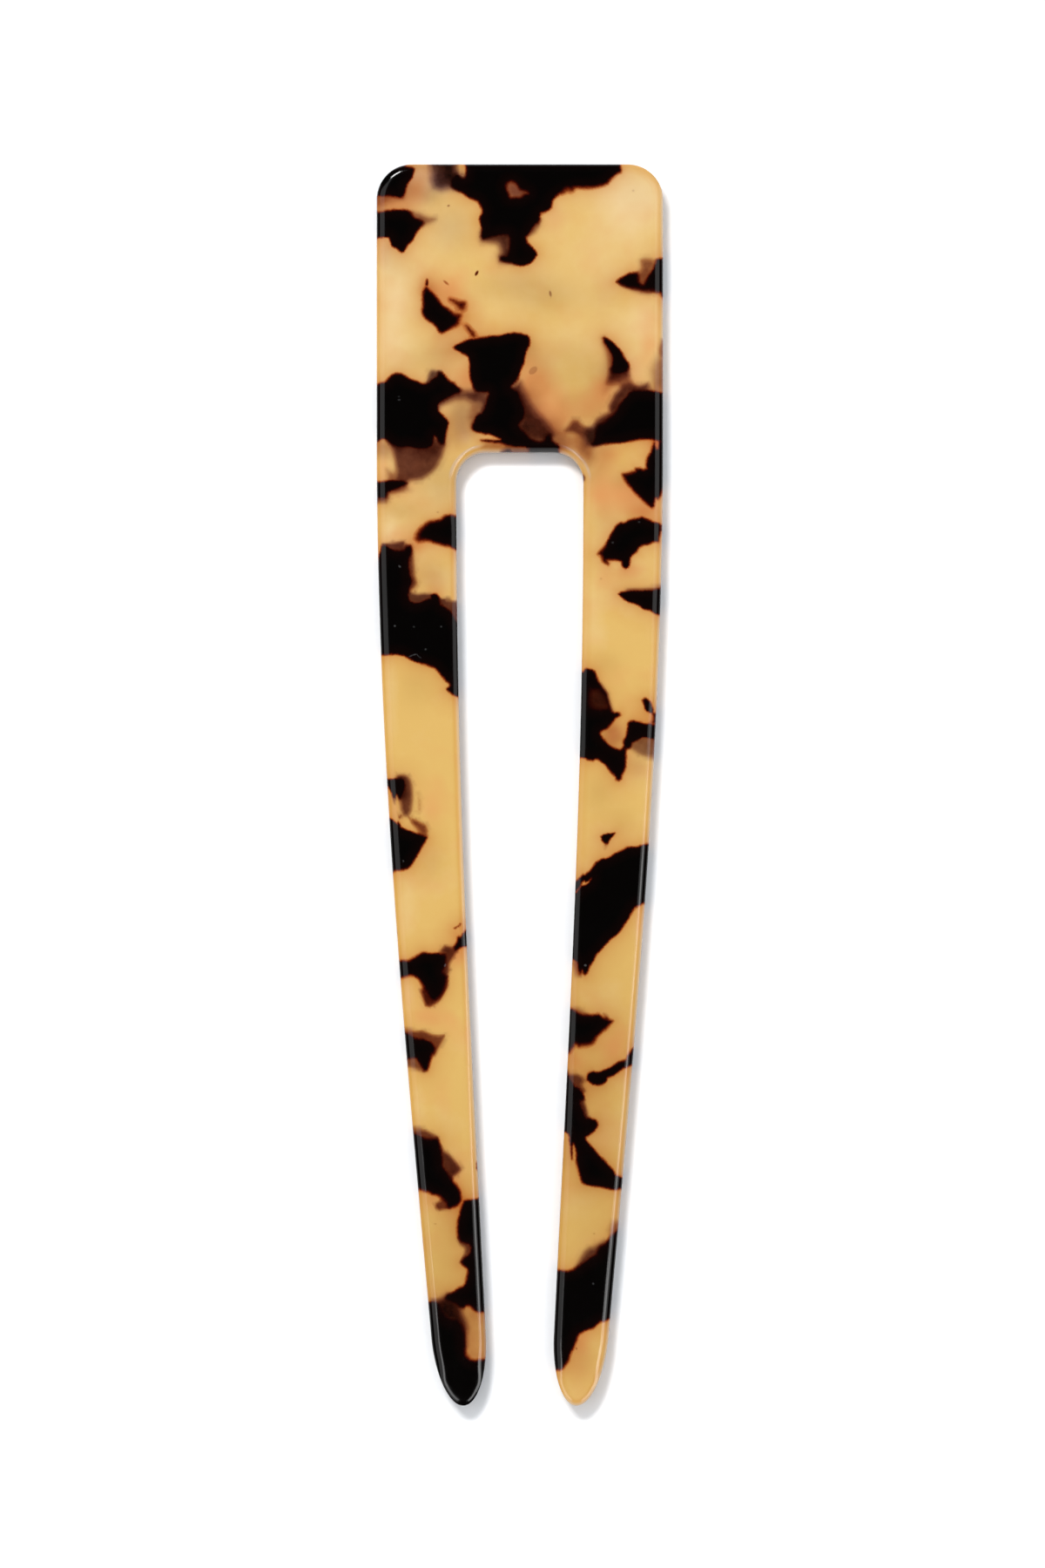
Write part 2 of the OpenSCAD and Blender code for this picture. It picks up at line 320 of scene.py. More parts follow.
flake("left_boot", [
    (-15.2, 22.4), (-14.6, 22.6), (-14.45, 23.3), (-14.3, 23.9), (-14.2, 24.35), (-13.95, 24.5),
    (-13.6, 24.4), (-13.3, 24.15), (-12.8, 23.95), (-12.2, 23.92), (-11.8, 24.0), (-11.55, 24.35),
    (-11.25, 24.4), (-11.12, 24.1), (-11.2, 23.6), (-11.35, 23.2), (-11.42, 22.6), (-11.35, 22.0),
    (-11.25, 21.4), (-11.08, 20.9), (-11.2, 20.4), (-11.42, 20.0), (-11.5, 19.5), (-11.4, 19.0),
    (-11.2, 18.75), (-10.8, 18.6), (-10.3, 18.65), (-9.9, 18.8), (-9.5, 18.95), (-9.1, 19.1),
    (-9.05, 19.4), (-8.8, 19.55), (-8.5, 19.55), (-8.3, 19.3), (-8.2, 18.9), (-8.1, 18.5),
    (-7.8, 18.22), (-7.5, 18.02), (-7.2, 17.85), (-7.0, 17.6), (-6.85, 17.3), (-6.7, 17.0),
    (-6.6, 16.8), (-6.2, 16.4), (-5.9, 16.0), (-5.9, 9.0), (-6.3, 9.02), (-6.6, 9.1), (-6.9, 9.25),
    (-7.2, 9.5), (-7.48, 9.78), (-7.3, 9.92), (-7.12, 10.1), (-7.1, 10.45), (-7.25, 10.55),
    (-7.5, 10.6), (-7.7, 10.8), (-8.0, 11.1), (-8.3, 11.5), (-8.6, 11.88), (-8.85, 12.05),
    (-9.2, 12.15), (-9.6, 12.3), (-10.0, 12.4), (-10.5, 12.55), (-10.9, 12.7), (-11.2, 12.85),
    (-11.5, 13.03), (-11.9, 13.2), (-12.3, 13.3), (-12.7, 13.35), (-13.1, 13.35), (-13.4, 13.3),
    (-14.0, 13.3), (-15.2, 13.3)],
    lean=(0.12, 0.2))
flake("left_veil", [
    (-15.0, 0.6), (-13.0, 0.62), (-12.3, 0.65), (-11.9, 0.5), (-11.8, 0.0), (-11.9, -0.6),
    (-12.1, -1.1), (-12.3, -1.35), (-12.5, -1.0), (-12.68, -0.9), (-12.85, -1.35), (-13.0, -1.05),
    (-13.3, -0.5), (-13.6, 0.0), (-13.9, 0.3), (-15.0, 0.4)],
    fringe=0.16, lean=(-0.2, 0.2))
flake("left_wedge", [
    (-15.0, -3.3), (-13.45, -3.4), (-13.1, -3.5), (-12.8, -3.75), (-12.6, -4.0), (-12.45, -3.8),
    (-12.3, -3.95), (-12.15, -4.3), (-11.9, -4.45), (-11.5, -4.6), (-11.1, -4.75), (-10.7, -4.9),
    (-10.3, -5.0), (-9.9, -5.15), (-9.6, -5.28), (-9.48, -5.42), (-9.65, -5.7), (-9.9, -6.1),
    (-10.1, -6.5), (-10.3, -6.9), (-10.55, -7.3), (-10.8, -7.7), (-11.0, -8.1), (-11.2, -8.35),
    (-11.5, -8.55), (-11.9, -8.65), (-12.3, -8.7), (-12.7, -8.75), (-13.0, -8.9), (-14.5, -8.95)],
    lean=(0.15, -0.2))
flake("inner_nick", [
    (-6.78, -14.68), (-6.6, -14.52), (-6.35, -14.42), (-6.15, -14.2), (-6.02, -14.22),
    (-6.1, -14.36), (-6.35, -14.52), (-6.62, -14.72)],
    fringe=0.12, foot=0.8)
flake("inner_spur", [
    (-5.2, -14.75), (-5.55, -14.8), (-5.7, -15.1), (-5.95, -15.42), (-6.1, -15.58), (-6.25, -15.48),
    (-6.4, -15.6), (-6.4, -15.9), (-6.5, -16.2), (-6.7, -16.6), (-6.6, -16.85), (-6.35, -16.8),
    (-6.1, -16.62), (-5.9, -16.55), (-5.0, -16.5)],
    fringe=0.17, lean=(0.2, 0.1))
flake("left_fang", [
    (-14.0, -18.1), (-12.3, -18.05), (-12.1, -17.96), (-11.8, -17.96), (-11.5, -18.0),
    (-11.1, -17.82), (-10.7, -17.6), (-10.3, -17.35), (-10.0, -17.16), (-9.7, -17.1), (-9.4, -17.2),
    (-8.9, -17.22), (-8.4, -17.2), (-8.0, -17.25), (-7.65, -17.32), (-7.6, -17.7), (-7.62, -18.2),
    (-7.78, -18.7), (-7.9, -19.0), (-7.82, -19.4), (-7.62, -19.7), (-7.62, -20.2), (-7.76, -20.8),
    (-8.0, -21.3), (-8.4, -21.7), (-8.7, -21.95), (-9.0, -21.9), (-9.2, -21.6), (-9.4, -21.2),
    (-9.7, -20.88), (-9.95, -20.5), (-10.2, -20.1), (-10.5, -19.75), (-10.9, -19.52),
    (-11.3, -19.5), (-11.6, -19.6), (-11.9, -19.7), (-12.3, -19.75), (-14.0, -19.75)],
    fringe=0.22, lean=(0.1, -0.2))
flake("left_tooth", [
    (-14.0, -25.4), (-11.6, -25.45), (-11.0, -25.8), (-10.5, -25.95), (-10.0, -26.0),
    (-9.5, -26.15), (-9.1, -26.36), (-8.85, -26.65), (-8.7, -26.92), (-8.8, -27.3), (-9.0, -27.6),
    (-9.1, -28.0), (-9.2, -28.5), (-9.3, -28.9), (-9.48, -29.22), (-9.78, -29.2), (-10.05, -28.8),
    (-10.3, -28.4), (-10.6, -28.02), (-10.9, -27.9), (-11.3, -27.95), (-14.0, -28.0)],
    fringe=0.21, lean=(0.15, 0.2))
flake("left_claw", [
    (-13.0, -35.6), (-11.2, -35.7), (-10.6, -35.76), (-10.1, -36.0), (-9.5, -36.15), (-9.0, -36.2),
    (-8.5, -36.2), (-8.3, -36.4), (-8.2, -36.9), (-8.1, -37.4), (-8.0, -38.0), (-7.95, -38.5),
    (-7.9, -39.0), (-7.7, -39.4), (-7.4, -39.8), (-7.1, -40.2), (-6.8, -40.6), (-6.5, -40.9),
    (-6.25, -41.3), (-6.08, -41.7), (-6.0, -42.1), (-6.0, -42.5), (-6.12, -42.8), (-6.4, -43.0),
    (-6.8, -43.2), (-7.2, -43.26), (-7.42, -43.1), (-7.5, -42.72), (-7.8, -42.4), (-8.2, -42.12),
    (-8.6, -41.96), (-9.0, -41.88), (-9.3, -41.66), (-9.6, -41.6), (-9.9, -41.5), (-10.3, -41.36),
    (-13.0, -41.3)],
    fringe=0.24, lean=(0.12, -0.15))
flake("left_inner_long", [
    (-3.0, -42.1), (-4.0, -42.2), (-4.6, -42.4), (-5.0, -42.42), (-5.4, -42.45), (-5.75, -42.6),
    (-5.9, -43.0), (-6.05, -43.5), (-6.2, -44.1), (-6.35, -44.6), (-6.42, -45.2), (-6.4, -45.8),
    (-6.3, -46.3), (-6.0, -46.7), (-5.6, -46.85), (-5.2, -46.95), (-5.0, -47.3), (-5.05, -47.8),
    (-5.3, -48.15), (-5.7, -48.45), (-6.0, -48.8), (-5.85, -49.15), (-5.55, -49.36),
    (-5.35, -49.6), (-5.38, -50.0), (-5.48, -50.5), (-5.6, -51.0), (-5.8, -51.3), (-6.15, -51.4),
    (-6.5, -51.65), (-6.9, -51.95), (-7.3, -52.2), (-7.45, -52.5), (-7.0, -52.75), (-6.5, -53.0),
    (-6.1, -53.3), (-5.8, -53.42), (-5.5, -53.26), (-5.1, -53.3), (-4.8, -53.6), (-4.5, -53.85),
    (-3.6, -53.95), (-2.5, -53.9)],
    fringe=0.21, lean=(-0.12, 0.1))
flake("left_tip", [
    (-11.0, -52.95), (-8.9, -53.02), (-8.4, -53.25), (-8.2, -53.8), (-7.7, -54.4), (-7.1, -54.85),
    (-6.5, -54.9), (-6.1, -55.3), (-5.9, -55.7), (-5.8, -56.3), (-5.78, -57.0), (-5.68, -57.7),
    (-5.5, -58.3), (-5.1, -58.76), (-4.6, -58.88), (-4.0, -58.82), (-2.5, -58.6), (-2.5, -66),
    (-11.0, -66)],
    fringe=0.28, lean=(0.1, 0.15))
flake("inner_line", [
    (-4.0, -38.5), (-4.38, -38.55), (-4.45, -39.0), (-4.36, -39.4), (-4.0, -39.4)],
    fringe=0.2, foot=1.6)
print("flakes with the left prong:", len(FLAKES))

# %% Flakes of the right prong
flake("right_flag", [
    (15.2, 35.2), (14.25, 35.2), (13.9, 35.15), (13.72, 35.0), (13.6, 34.72), (13.48, 34.3),
    (13.35, 33.95), (13.1, 33.55), (12.98, 33.1), (12.9, 32.72), (12.95, 32.4), (12.6, 32.25),
    (12.3, 32.4), (11.85, 32.38), (11.8, 32.1), (11.3, 31.93), (10.8, 31.86), (10.5, 31.8),
    (10.62, 31.45), (10.8, 31.1), (10.95, 30.85), (11.3, 30.45), (11.7, 30.0), (12.1, 29.6),
    (12.5, 29.2), (12.95, 28.8), (13.25, 28.5), (13.5, 28.35), (13.7, 28.42), (13.76, 28.8),
    (13.85, 29.3), (14.0, 29.38), (14.15, 29.2), (14.4, 29.6), (14.6, 30.2), (15.2, 30.3)],
    fringe=0.22, lean=(-0.1, 0.2))
flake("right_maple", [
    (15.2, 26.6), (14.4, 26.6), (14.2, 26.76), (13.9, 26.82), (13.6, 26.95), (13.2, 27.1),
    (12.8, 27.3), (12.5, 27.4), (12.2, 27.3), (11.7, 27.25), (11.2, 27.15), (10.9, 26.95),
    (10.7, 26.8), (10.3, 26.8), (10.0, 26.66), (9.75, 26.4), (9.6, 26.1), (9.5, 25.9), (9.3, 25.6),
    (9.1, 25.2), (8.9, 24.85), (8.65, 24.4), (8.4, 24.1), (8.1, 23.78), (8.0, 23.64), (8.25, 23.5),
    (8.4, 23.2), (8.5, 22.92), (8.7, 22.75), (8.9, 22.66), (9.05, 22.5), (9.1, 22.62), (8.95, 22.95),
    (9.2, 23.0), (9.7, 23.0), (10.1, 22.95), (10.4, 22.85), (10.45, 22.5), (10.6, 22.22),
    (10.8, 22.1), (11.05, 22.2), (11.2, 22.42), (11.25, 22.8), (11.3, 23.2), (11.5, 23.5),
    (11.8, 23.75), (12.0, 23.9), (12.15, 24.2), (12.4, 24.45), (12.7, 24.55), (13.1, 24.6),
    (13.3, 24.7), (13.6, 24.86), (14.1, 24.86), (14.22, 24.95), (14.28, 25.4), (14.4, 26.0),
    (15.2, 26.2)],
    fringe=0.19, lean=(0.15, -0.1))
flake("right_dart", [
    (10.05, 19.55), (10.3, 19.7), (10.6, 19.76), (11.0, 19.8), (11.4, 19.86), (12.0, 19.88),
    (13.0, 19.86), (13.8, 19.92), (14.1, 20.05), (15.2, 20.1), (15.2, 17.3), (14.15, 17.38),
    (13.8, 17.52), (13.6, 17.7), (13.3, 17.85), (12.9, 17.92), (12.6, 18.02), (12.3, 18.25),
    (12.0, 18.45), (11.6, 18.58), (11.2, 18.66), (10.9, 18.85), (10.5, 19.1), (10.2, 19.36)],
    lean=(0.1, 0.25))
flake("right_hook", [
    (5.0, 11.6), (6.2, 11.6), (6.5, 11.55), (6.65, 11.85), (6.85, 11.92), (7.1, 11.82), (7.4, 11.8),
    (7.65, 11.62), (7.8, 11.32), (7.9, 11.0), (8.0, 10.6), (8.15, 10.2), (8.38, 9.8), (8.6, 9.5),
    (8.76, 9.2), (8.82, 8.9), (8.95, 8.5), (9.08, 8.1), (9.2, 7.72), (9.4, 7.5), (9.7, 7.4),
    (10.0, 7.42), (10.2, 7.32), (10.3, 7.15), (10.1, 6.98), (9.8, 6.86), (9.6, 6.6), (9.4, 6.3),
    (9.15, 6.05), (8.95, 5.76), (8.6, 5.66), (8.36, 5.5), (8.2, 5.25), (8.3, 5.0), (8.5, 4.72),
    (8.8, 4.4), (9.1, 4.12), (9.4, 3.9), (9.8, 3.7), (10.2, 3.6), (10.5, 3.78), (10.66, 4.05),
    (10.6, 4.3), (10.65, 4.6), (10.85, 4.88), (10.95, 5.2), (11.0, 5.6), (11.05, 6.0), (11.1, 6.35),
    (11.3, 6.5), (11.6, 6.56), (12.0, 6.5), (12.4, 6.4), (12.7, 6.3), (13.0, 6.25), (13.4, 6.25),
    (13.6, 6.2), (15.0, 6.2), (15.0, 4.6), (13.6, 4.7), (13.0, 4.86), (12.6, 4.86), (12.2, 4.7),
    (11.8, 4.5), (11.5, 4.3), (11.38, 4.0), (11.2, 3.8), (10.96, 3.72), (10.88, 3.4), (10.85, 3.0),
    (10.85, 2.6), (10.86, 2.2), (10.8, 1.8), (10.66, 1.4), (10.5, 1.1), (10.4, 0.88), (10.35, 0.62),
    (10.1, 0.45), (9.86, 0.5), (9.8, 0.78), (9.6, 1.0), (9.4, 1.22), (9.2, 1.45), (9.0, 1.72),
    (8.8, 2.0), (8.5, 2.22), (8.3, 2.4), (8.0, 2.6), (7.7, 2.64), (7.5, 2.5), (7.2, 2.5), (6.9, 2.55),
    (6.7, 2.7), (6.4, 2.78), (6.1, 2.8), (5.0, 2.8)],
    fringe=0.19, lean=(-0.1, 0.15))
flake("right_chip", [
    (12.5, 8.68), (12.8, 8.9), (13.0, 8.86), (13.2, 8.62), (13.4, 8.4), (13.5, 8.0), (13.62, 7.7),
    (13.62, 7.36), (13.3, 7.44), (13.0, 7.5), (12.8, 7.7), (12.7, 8.1), (12.6, 8.46)],
    fringe=0.16, foot=2.0)
flake("right_edge_line", [
    (13.6, 7.3), (13.7, 7.1), (13.68, 6.7), (13.5, 6.36), (15.0, 6.3), (15.0, 7.4)],
    fringe=0.3, lean=(-0.1, 0.2))
flake("right_seed", [
    (8.3, -5.28), (8.6, -5.06), (9.0, -5.0), (9.4, -4.95), (9.75, -4.88), (9.6, -5.2), (9.4, -5.4),
    (9.2, -5.7), (9.0, -5.95), (8.8, -6.0), (8.55, -5.86), (8.36, -5.6)],
    fringe=0.15, foot=1.8)
flake("right_slab", [
    (14.5, -6.0), (12.98, -6.05), (12.6, -6.15), (12.0, -6.3), (11.5, -6.35), (11.0, -6.36),
    (10.7, -6.5), (10.4, -6.7), (10.0, -6.9), (9.6, -7.1), (9.2, -7.35), (8.8, -7.5), (8.4, -7.56),
    (8.1, -7.74), (7.8, -7.9), (7.6, -8.2), (7.4, -8.5), (7.2, -8.8), (6.95, -8.9), (6.8, -9.1),
    (6.65, -9.2), (6.5, -9.1), (6.3, -9.3), (6.0, -9.6), (5.8, -9.8), (4.8, -10.2), (4.8, -17.8),
    (5.4, -17.8), (5.6, -17.9), (5.85, -18.1), (5.95, -18.5), (6.05, -18.9), (6.1, -19.3),
    (6.25, -19.32), (6.32, -18.95), (6.4, -18.8), (6.5, -19.2), (6.65, -19.46), (6.85, -19.3),
    (7.0, -18.9), (7.15, -18.5), (7.4, -18.2), (7.6, -17.8), (7.8, -17.42), (8.1, -17.1),
    (8.4, -16.8), (8.7, -16.4), (9.0, -16.1), (9.4, -15.72), (9.8, -15.4), (10.1, -15.1),
    (10.4, -14.75), (10.7, -14.3), (10.9, -14.0), (11.1, -13.7), (11.3, -13.3), (11.6, -12.8),
    (11.8, -12.52), (12.2, -12.3), (12.65, -12.1), (14.5, -12.0)],
    lean=(0.1, -0.2))
flake("right_boat", [
    (4.2, -22.8), (5.2, -22.9), (5.6, -23.1), (6.0, -23.35), (6.4, -23.5), (6.9, -23.5),
    (7.4, -23.5), (7.8, -23.46), (8.1, -23.44), (8.26, -23.6), (8.5, -23.8), (8.9, -23.9),
    (9.2, -24.04), (9.52, -24.15), (9.35, -24.4), (9.1, -24.62), (8.8, -24.95), (8.5, -25.2),
    (8.2, -25.45), (7.95, -25.7), (7.75, -26.0), (7.5, -26.36), (7.25, -26.52), (6.9, -26.62),
    (6.4, -26.65), (6.0, -26.75), (5.8, -26.55), (5.6, -26.52), (5.45, -26.8), (5.3, -27.0),
    (5.1, -27.4), (4.2, -27.55)],
    fringe=0.26, lean=(0.15, 0.1))
flake("right_spoon", [
    (6.85, -29.8), (6.95, -29.52), (7.2, -29.36), (7.5, -29.3), (7.8, -29.4), (8.1, -29.35),
    (8.5, -29.2), (8.9, -29.02), (9.3, -28.86), (9.7, -28.62), (10.0, -28.4), (10.3, -28.26),
    (10.7, -28.18), (10.95, -28.1), (11.05, -27.7), (11.3, -27.3), (11.6, -26.9), (13.0, -26.8),
    (13.0, -28.55), (11.5, -28.62), (11.3, -28.72), (10.9, -28.86), (10.6, -29.0), (10.3, -29.2),
    (10.0, -29.45), (9.6, -29.7), (9.2, -29.86), (8.92, -29.96), (8.9, -30.2), (8.76, -30.42),
    (8.5, -30.6), (8.0, -30.7), (7.5, -30.62), (7.15, -30.46), (6.9, -30.2)],
    fringe=0.18, lean=(-0.1, -0.15))
flake("right_crab", [
    (4.0, -29.2), (4.62, -29.3), (4.95, -29.7), (5.1, -30.2), (5.4, -30.6), (5.7, -30.86),
    (6.1, -31.1), (6.4, -31.4), (6.56, -31.8), (6.5, -32.1), (6.2, -32.3), (6.14, -32.6),
    (6.3, -33.0), (6.5, -33.5), (6.6, -33.9), (6.8, -34.15), (7.3, -34.15), (7.7, -34.25),
    (7.95, -34.5), (8.02, -34.78), (7.86, -35.1), (7.6, -35.4), (7.3, -35.65), (7.0, -35.9),
    (6.7, -36.06), (6.76, -36.3), (7.0, -36.6), (7.3, -36.95), (7.7, -37.4), (8.1, -37.85),
    (8.5, -38.25), (8.9, -38.7), (9.3, -39.1), (9.6, -39.5), (9.8, -39.9), (10.1, -40.05),
    (10.35, -40.15), (11.5, -40.3), (11.5, -41.2), (10.3, -41.3), (9.9, -41.36), (9.5, -41.4),
    (9.1, -41.3), (8.6, -41.2), (8.0, -41.1), (7.4, -41.0), (6.8, -40.92), (6.45, -40.76),
    (6.3, -40.5), (6.2, -40.1), (6.05, -39.6), (5.9, -39.1), (5.8, -38.6), (5.78, -38.1),
    (5.78, -37.6), (5.7, -37.2), (5.55, -36.8), (5.46, -36.62), (5.38, -37.0), (5.38, -37.8),
    (5.32, -38.35), (5.24, -37.9), (5.2, -37.2), (5.16, -36.6), (5.1, -36.4), (5.05, -36.0),
    (4.95, -35.66), (4.7, -35.5), (4.0, -35.5)],
    fringe=0.19, lean=(0.1, 0.15))
flake("right_foot", [
    (3.0, -49.65), (4.2, -49.65), (4.6, -49.76), (5.0, -49.7), (5.4, -49.58), (5.8, -49.4),
    (6.1, -49.2), (6.4, -48.96), (6.8, -48.72), (7.1, -48.5), (7.4, -48.3), (7.8, -48.0),
    (8.0, -47.6), (8.2, -47.3), (8.5, -47.1), (8.8, -46.9), (9.1, -46.5), (9.3, -46.2),
    (9.6, -45.9), (9.9, -45.6), (10.3, -45.3), (11.0, -45.3), (11.0, -54.5), (9.2, -54.6),
    (8.9, -54.76), (8.6, -54.85), (8.3, -54.9), (8.0, -55.1), (7.7, -55.4), (7.5, -55.56),
    (7.1, -55.66), (6.8, -55.8), (6.4, -56.0), (6.1, -56.16), (5.9, -56.4), (5.8, -56.8),
    (5.65, -57.2), (5.5, -57.6), (5.3, -58.0), (5.1, -58.4), (5.0, -58.8), (4.9, -59.06),
    (4.6, -59.4), (4.4, -59.66), (4.15, -59.8), (3.9, -59.82), (3.6, -59.9), (2.5, -60.0)],
    fringe=0.22, lean=(0.1, 0.15))
print("flakes in all:", len(FLAKES))

# %% [markdown]
# ## Windows
# Where a pale chip lies over a dark one, the dark flake has a window in it. It is charted as the
# flakes are, with a fringe of its own, and cut out of them; further down it closes.

# %% Windows in the flakes
WINDOWS = [
    ("crown_tongue", 0.2, [
        (-6.6, 64.0), (-6.62, 63.1), (-6.5, 62.6), (-6.2, 62.22), (-5.9, 62.05), (-5.66, 62.14),
        (-5.56, 62.6), (-5.56, 63.2), (-5.64, 64.0)]),
    ("crown_heart", 0.26, [
        (-1.42, 61.3), (-1.26, 61.56), (-0.95, 61.72), (-0.6, 61.66), (-0.32, 61.42), (-0.16, 61.1),
        (0.05, 60.9), (0.4, 60.82), (0.7, 60.68), (0.88, 60.5), (0.5, 60.42), (0.25, 60.22),
        (0.0, 60.1), (-0.5, 60.1), (-0.9, 60.04), (-1.06, 60.2), (-1.16, 60.6), (-1.34, 60.92)]),
    ("slot_end_gap", 0.3, [
        (-1.6, 33.6), (-1.6, 34.3), (-1.2, 34.66), (-0.5, 34.56), (0.3, 34.52), (0.95, 34.42),
        (1.0, 33.6)]),
    ("shoulder_gap", 0.18, [
        (13.84, 35.3), (14.2, 35.22), (14.24, 34.9), (14.14, 34.4), (13.98, 34.3), (13.84, 34.8)]),
    ("hook_veil", 0.5, [
        (7.2, 9.8), (8.2, 9.9), (8.7, 9.3), (9.0, 8.5), (9.15, 7.9), (8.9, 7.72), (8.2, 7.6),
        (7.6, 7.72), (7.1, 8.1), (7.0, 8.8)]),
    ("slab_streak", 0.14, [
        (5.3, -11.25), (5.75, -10.9), (6.1, -10.45), (6.38, -9.9), (6.6, -9.78), (6.72, -9.95),
        (7.0, -9.86), (7.32, -9.5), (7.06, -10.02), (6.66, -10.25), (6.35, -10.3), (6.05, -10.68),
        (5.7, -11.02), (5.3, -11.4)]),
]
print("windows:", len(WINDOWS))

# %% [markdown]
# ## Smoke
# A flake that lies a little below the face shows through the milky ground as a soft brown cloud. Such
# a cloud is charted too, with how far its edge is blurred, how dense it is and how warm its brown is.
# Further down, on the sides and the underside, a flake that sinks comes to the surface with a crisp
# edge, and a thin one, which doesn't sink, just ends.

# %% Smoke charted on the top face
SMOKES = []


def smoke(points, blur=0.25, density=0.55, warm=0.3, sinks=True):
    SMOKES.append((points, blur, density, warm, sinks))


smoke([(-9.3, 64), (-8.95, 62.6), (-8.95, 61.8), (-8.7, 61.15), (-8.0, 60.95), (-7.2, 61.12),
       (-6.6, 61.2), (-5.8, 62.0), (-6.4, 62.4), (-6.65, 63.2), (-6.6, 64)], 0.5, 0.68, 0.0)
smoke([(-8.1, 64), (-7.95, 63.2), (-8.2, 62.4), (-7.9, 62.0), (-7.2, 61.75), (-6.4, 62.3),
       (-6.7, 63.0), (-6.65, 64)], 0.4, 0.77, 0.3)
smoke([(-13.2, 64), (-11.6, 62), (-11.8, 60.4), (-13.4, 59.9), (-11.0, 59.6), (-9.4, 59.6), (-8.0, 60.4),
       (-6.6, 61.0), (-6.0, 62.4), (-6.2, 64)], 0.9, 0.11, 0.25, False)
smoke([(-15.2, 60.7), (-13.4, 61.0), (-12.1, 60.8), (-11.9, 60.1), (-13.2, 59.5), (-15.2, 59.3)],
      0.4, 0.24, 0.8, False)
smoke([(-1.42, 61.3), (-0.95, 61.72), (-0.32, 61.42), (0.88, 60.5), (0.0, 60.1), (-0.9, 60.04)],
      0.3, 0.48, 0.6, False)
smoke([(-3.8, 56.4), (-3.8, 55.75), (-3.1, 55.65), (-2.5, 55.55), (-2.15, 55.35), (-1.95, 54.9),
       (-1.85, 54.5), (-2.0, 54.1), (-1.9, 53.6), (-1.0, 53.6), (-0.9, 56.6), (-2.0, 56.6)],
      0.5, 0.78, 0.3)
smoke([(0.85, 56.2), (1.5, 56.55), (2.0, 57.3), (2.0, 57.7), (1.6, 57.5), (1.1, 57.0)],
      0.3, 0.5, 0.5, False)
smoke([(-10.9, 58.5), (-10.3, 58.42), (-9.8, 58.2), (-9.3, 58.0), (-8.6, 57.92), (-8.9, 57.72),
       (-9.4, 57.5), (-9.9, 57.35), (-10.3, 57.8)], 0.35, 0.48, 0.45)
smoke([(-15.2, 60.2), (-13.6, 60.2), (-13.9, 59.4), (-13.9, 58.7), (-15.2, 58.7)], 0.4, 0.2, 0.7, False)
smoke([(-9.45, 41.2), (-9.4, 41.8), (-9.2, 42.35), (-8.9, 42.45), (-8.5, 42.3), (-8.2, 42.3),
       (-8.2, 41.6), (-8.9, 41.3)], 0.2, 0.53, 0.0)
smoke([(-6.4, 40.3), (-5.5, 40.22), (-4.7, 40.18), (-4.2, 40.3), (-3.2, 40.35), (-3.2, 39.3),
       (-3.6, 38.4), (-3.95, 38.0), (-3.95, 39.0), (-4.4, 39.35), (-5.5, 39.55), (-6.6, 39.5),
       (-7.3, 39.2), (-8.0, 38.85), (-8.35, 38.6), (-8.3, 39.4), (-7.5, 39.8)], 0.35, 0.53, 0.3)
smoke([(-13.3, 35.1), (-12.9, 34.2), (-12.75, 33.2), (-12.65, 32.2), (-12.5, 31.5), (-12.3, 31.1),
       (-11.7, 30.85), (-11.2, 31.15), (-10.6, 31.2), (-10.0, 31.3), (-9.5, 31.6), (-9.0, 32.0),
       (-8.6, 32.4), (-8.3, 32.85), (-8.1, 33.4), (-7.95, 34.0), (-7.8, 34.7), (-8.0, 35.1),
       (-10.0, 35.2)], 0.3, 0.6, 0.5)
smoke([(-13.0, 34.9), (-12.6, 34.1), (-11.0, 33.9), (-9.4, 33.6), (-8.3, 33.9), (-8.0, 34.9),
       (-8.5, 35.9), (-9.0, 35.4)], 0.8, 0.42, 0.4, False)
smoke([(-15.2, 35.3), (-13.6, 35.2), (-13.1, 34.6), (-13.4, 33.5), (-15.2, 33.5)], 0.5, 0.2, 0.5, False)
smoke([(0.05, 41.1), (0.35, 40.3), (0.65, 39.6), (0.95, 39.0), (1.35, 38.4), (1.9, 37.8),
       (2.5, 37.2), (2.9, 36.7), (3.2, 36.2), (3.4, 35.8), (3.1, 35.0), (1.0, 35.2), (-0.3, 36.6),
       (0.2, 37.6), (-0.2, 39.8), (-1.0, 40.6)], 0.45, 0.78, 0.4)
smoke([(0.9, 39.8), (1.6, 38.9), (2.3, 38.1), (3.0, 37.3), (3.6, 36.5), (4.1, 35.8), (4.1, 34.8),
       (3.3, 34.9), (2.9, 36.0), (1.5, 37.8), (0.5, 39.4)], 1.1, 0.35, 0.6, False)
smoke([(-5.4, 40.2), (-4.3, 40.2), (-3.9, 38.9), (-4.0, 37.6), (-4.7, 36.8), (-5.1, 37.6), (-4.9, 38.9)],
      0.5, 0.36, 0.5, False)
smoke([(5.8, 36.1), (6.4, 35.7), (7.2, 35.2), (7.6, 34.4), (7.6, 33.5), (7.1, 32.8),
       (6.6, 33.2), (6.3, 34.2), (6.1, 35.0)], 0.45, 0.28, 1.0, False)
smoke([(9.0, 44.2), (10.2, 43.4), (10.0, 42.0), (9.6, 40.8), (8.8, 40.4), (8.8, 41.6), (8.9, 43)],
      0.6, 0.26, 0.9, False)
smoke([(-13.6, 32.2), (-12.8, 31.9), (-11.8, 31.2), (-11.4, 30.2), (-12.4, 30.2), (-13.4, 31.0)],
      0.35, 0.36, 0.6, False)
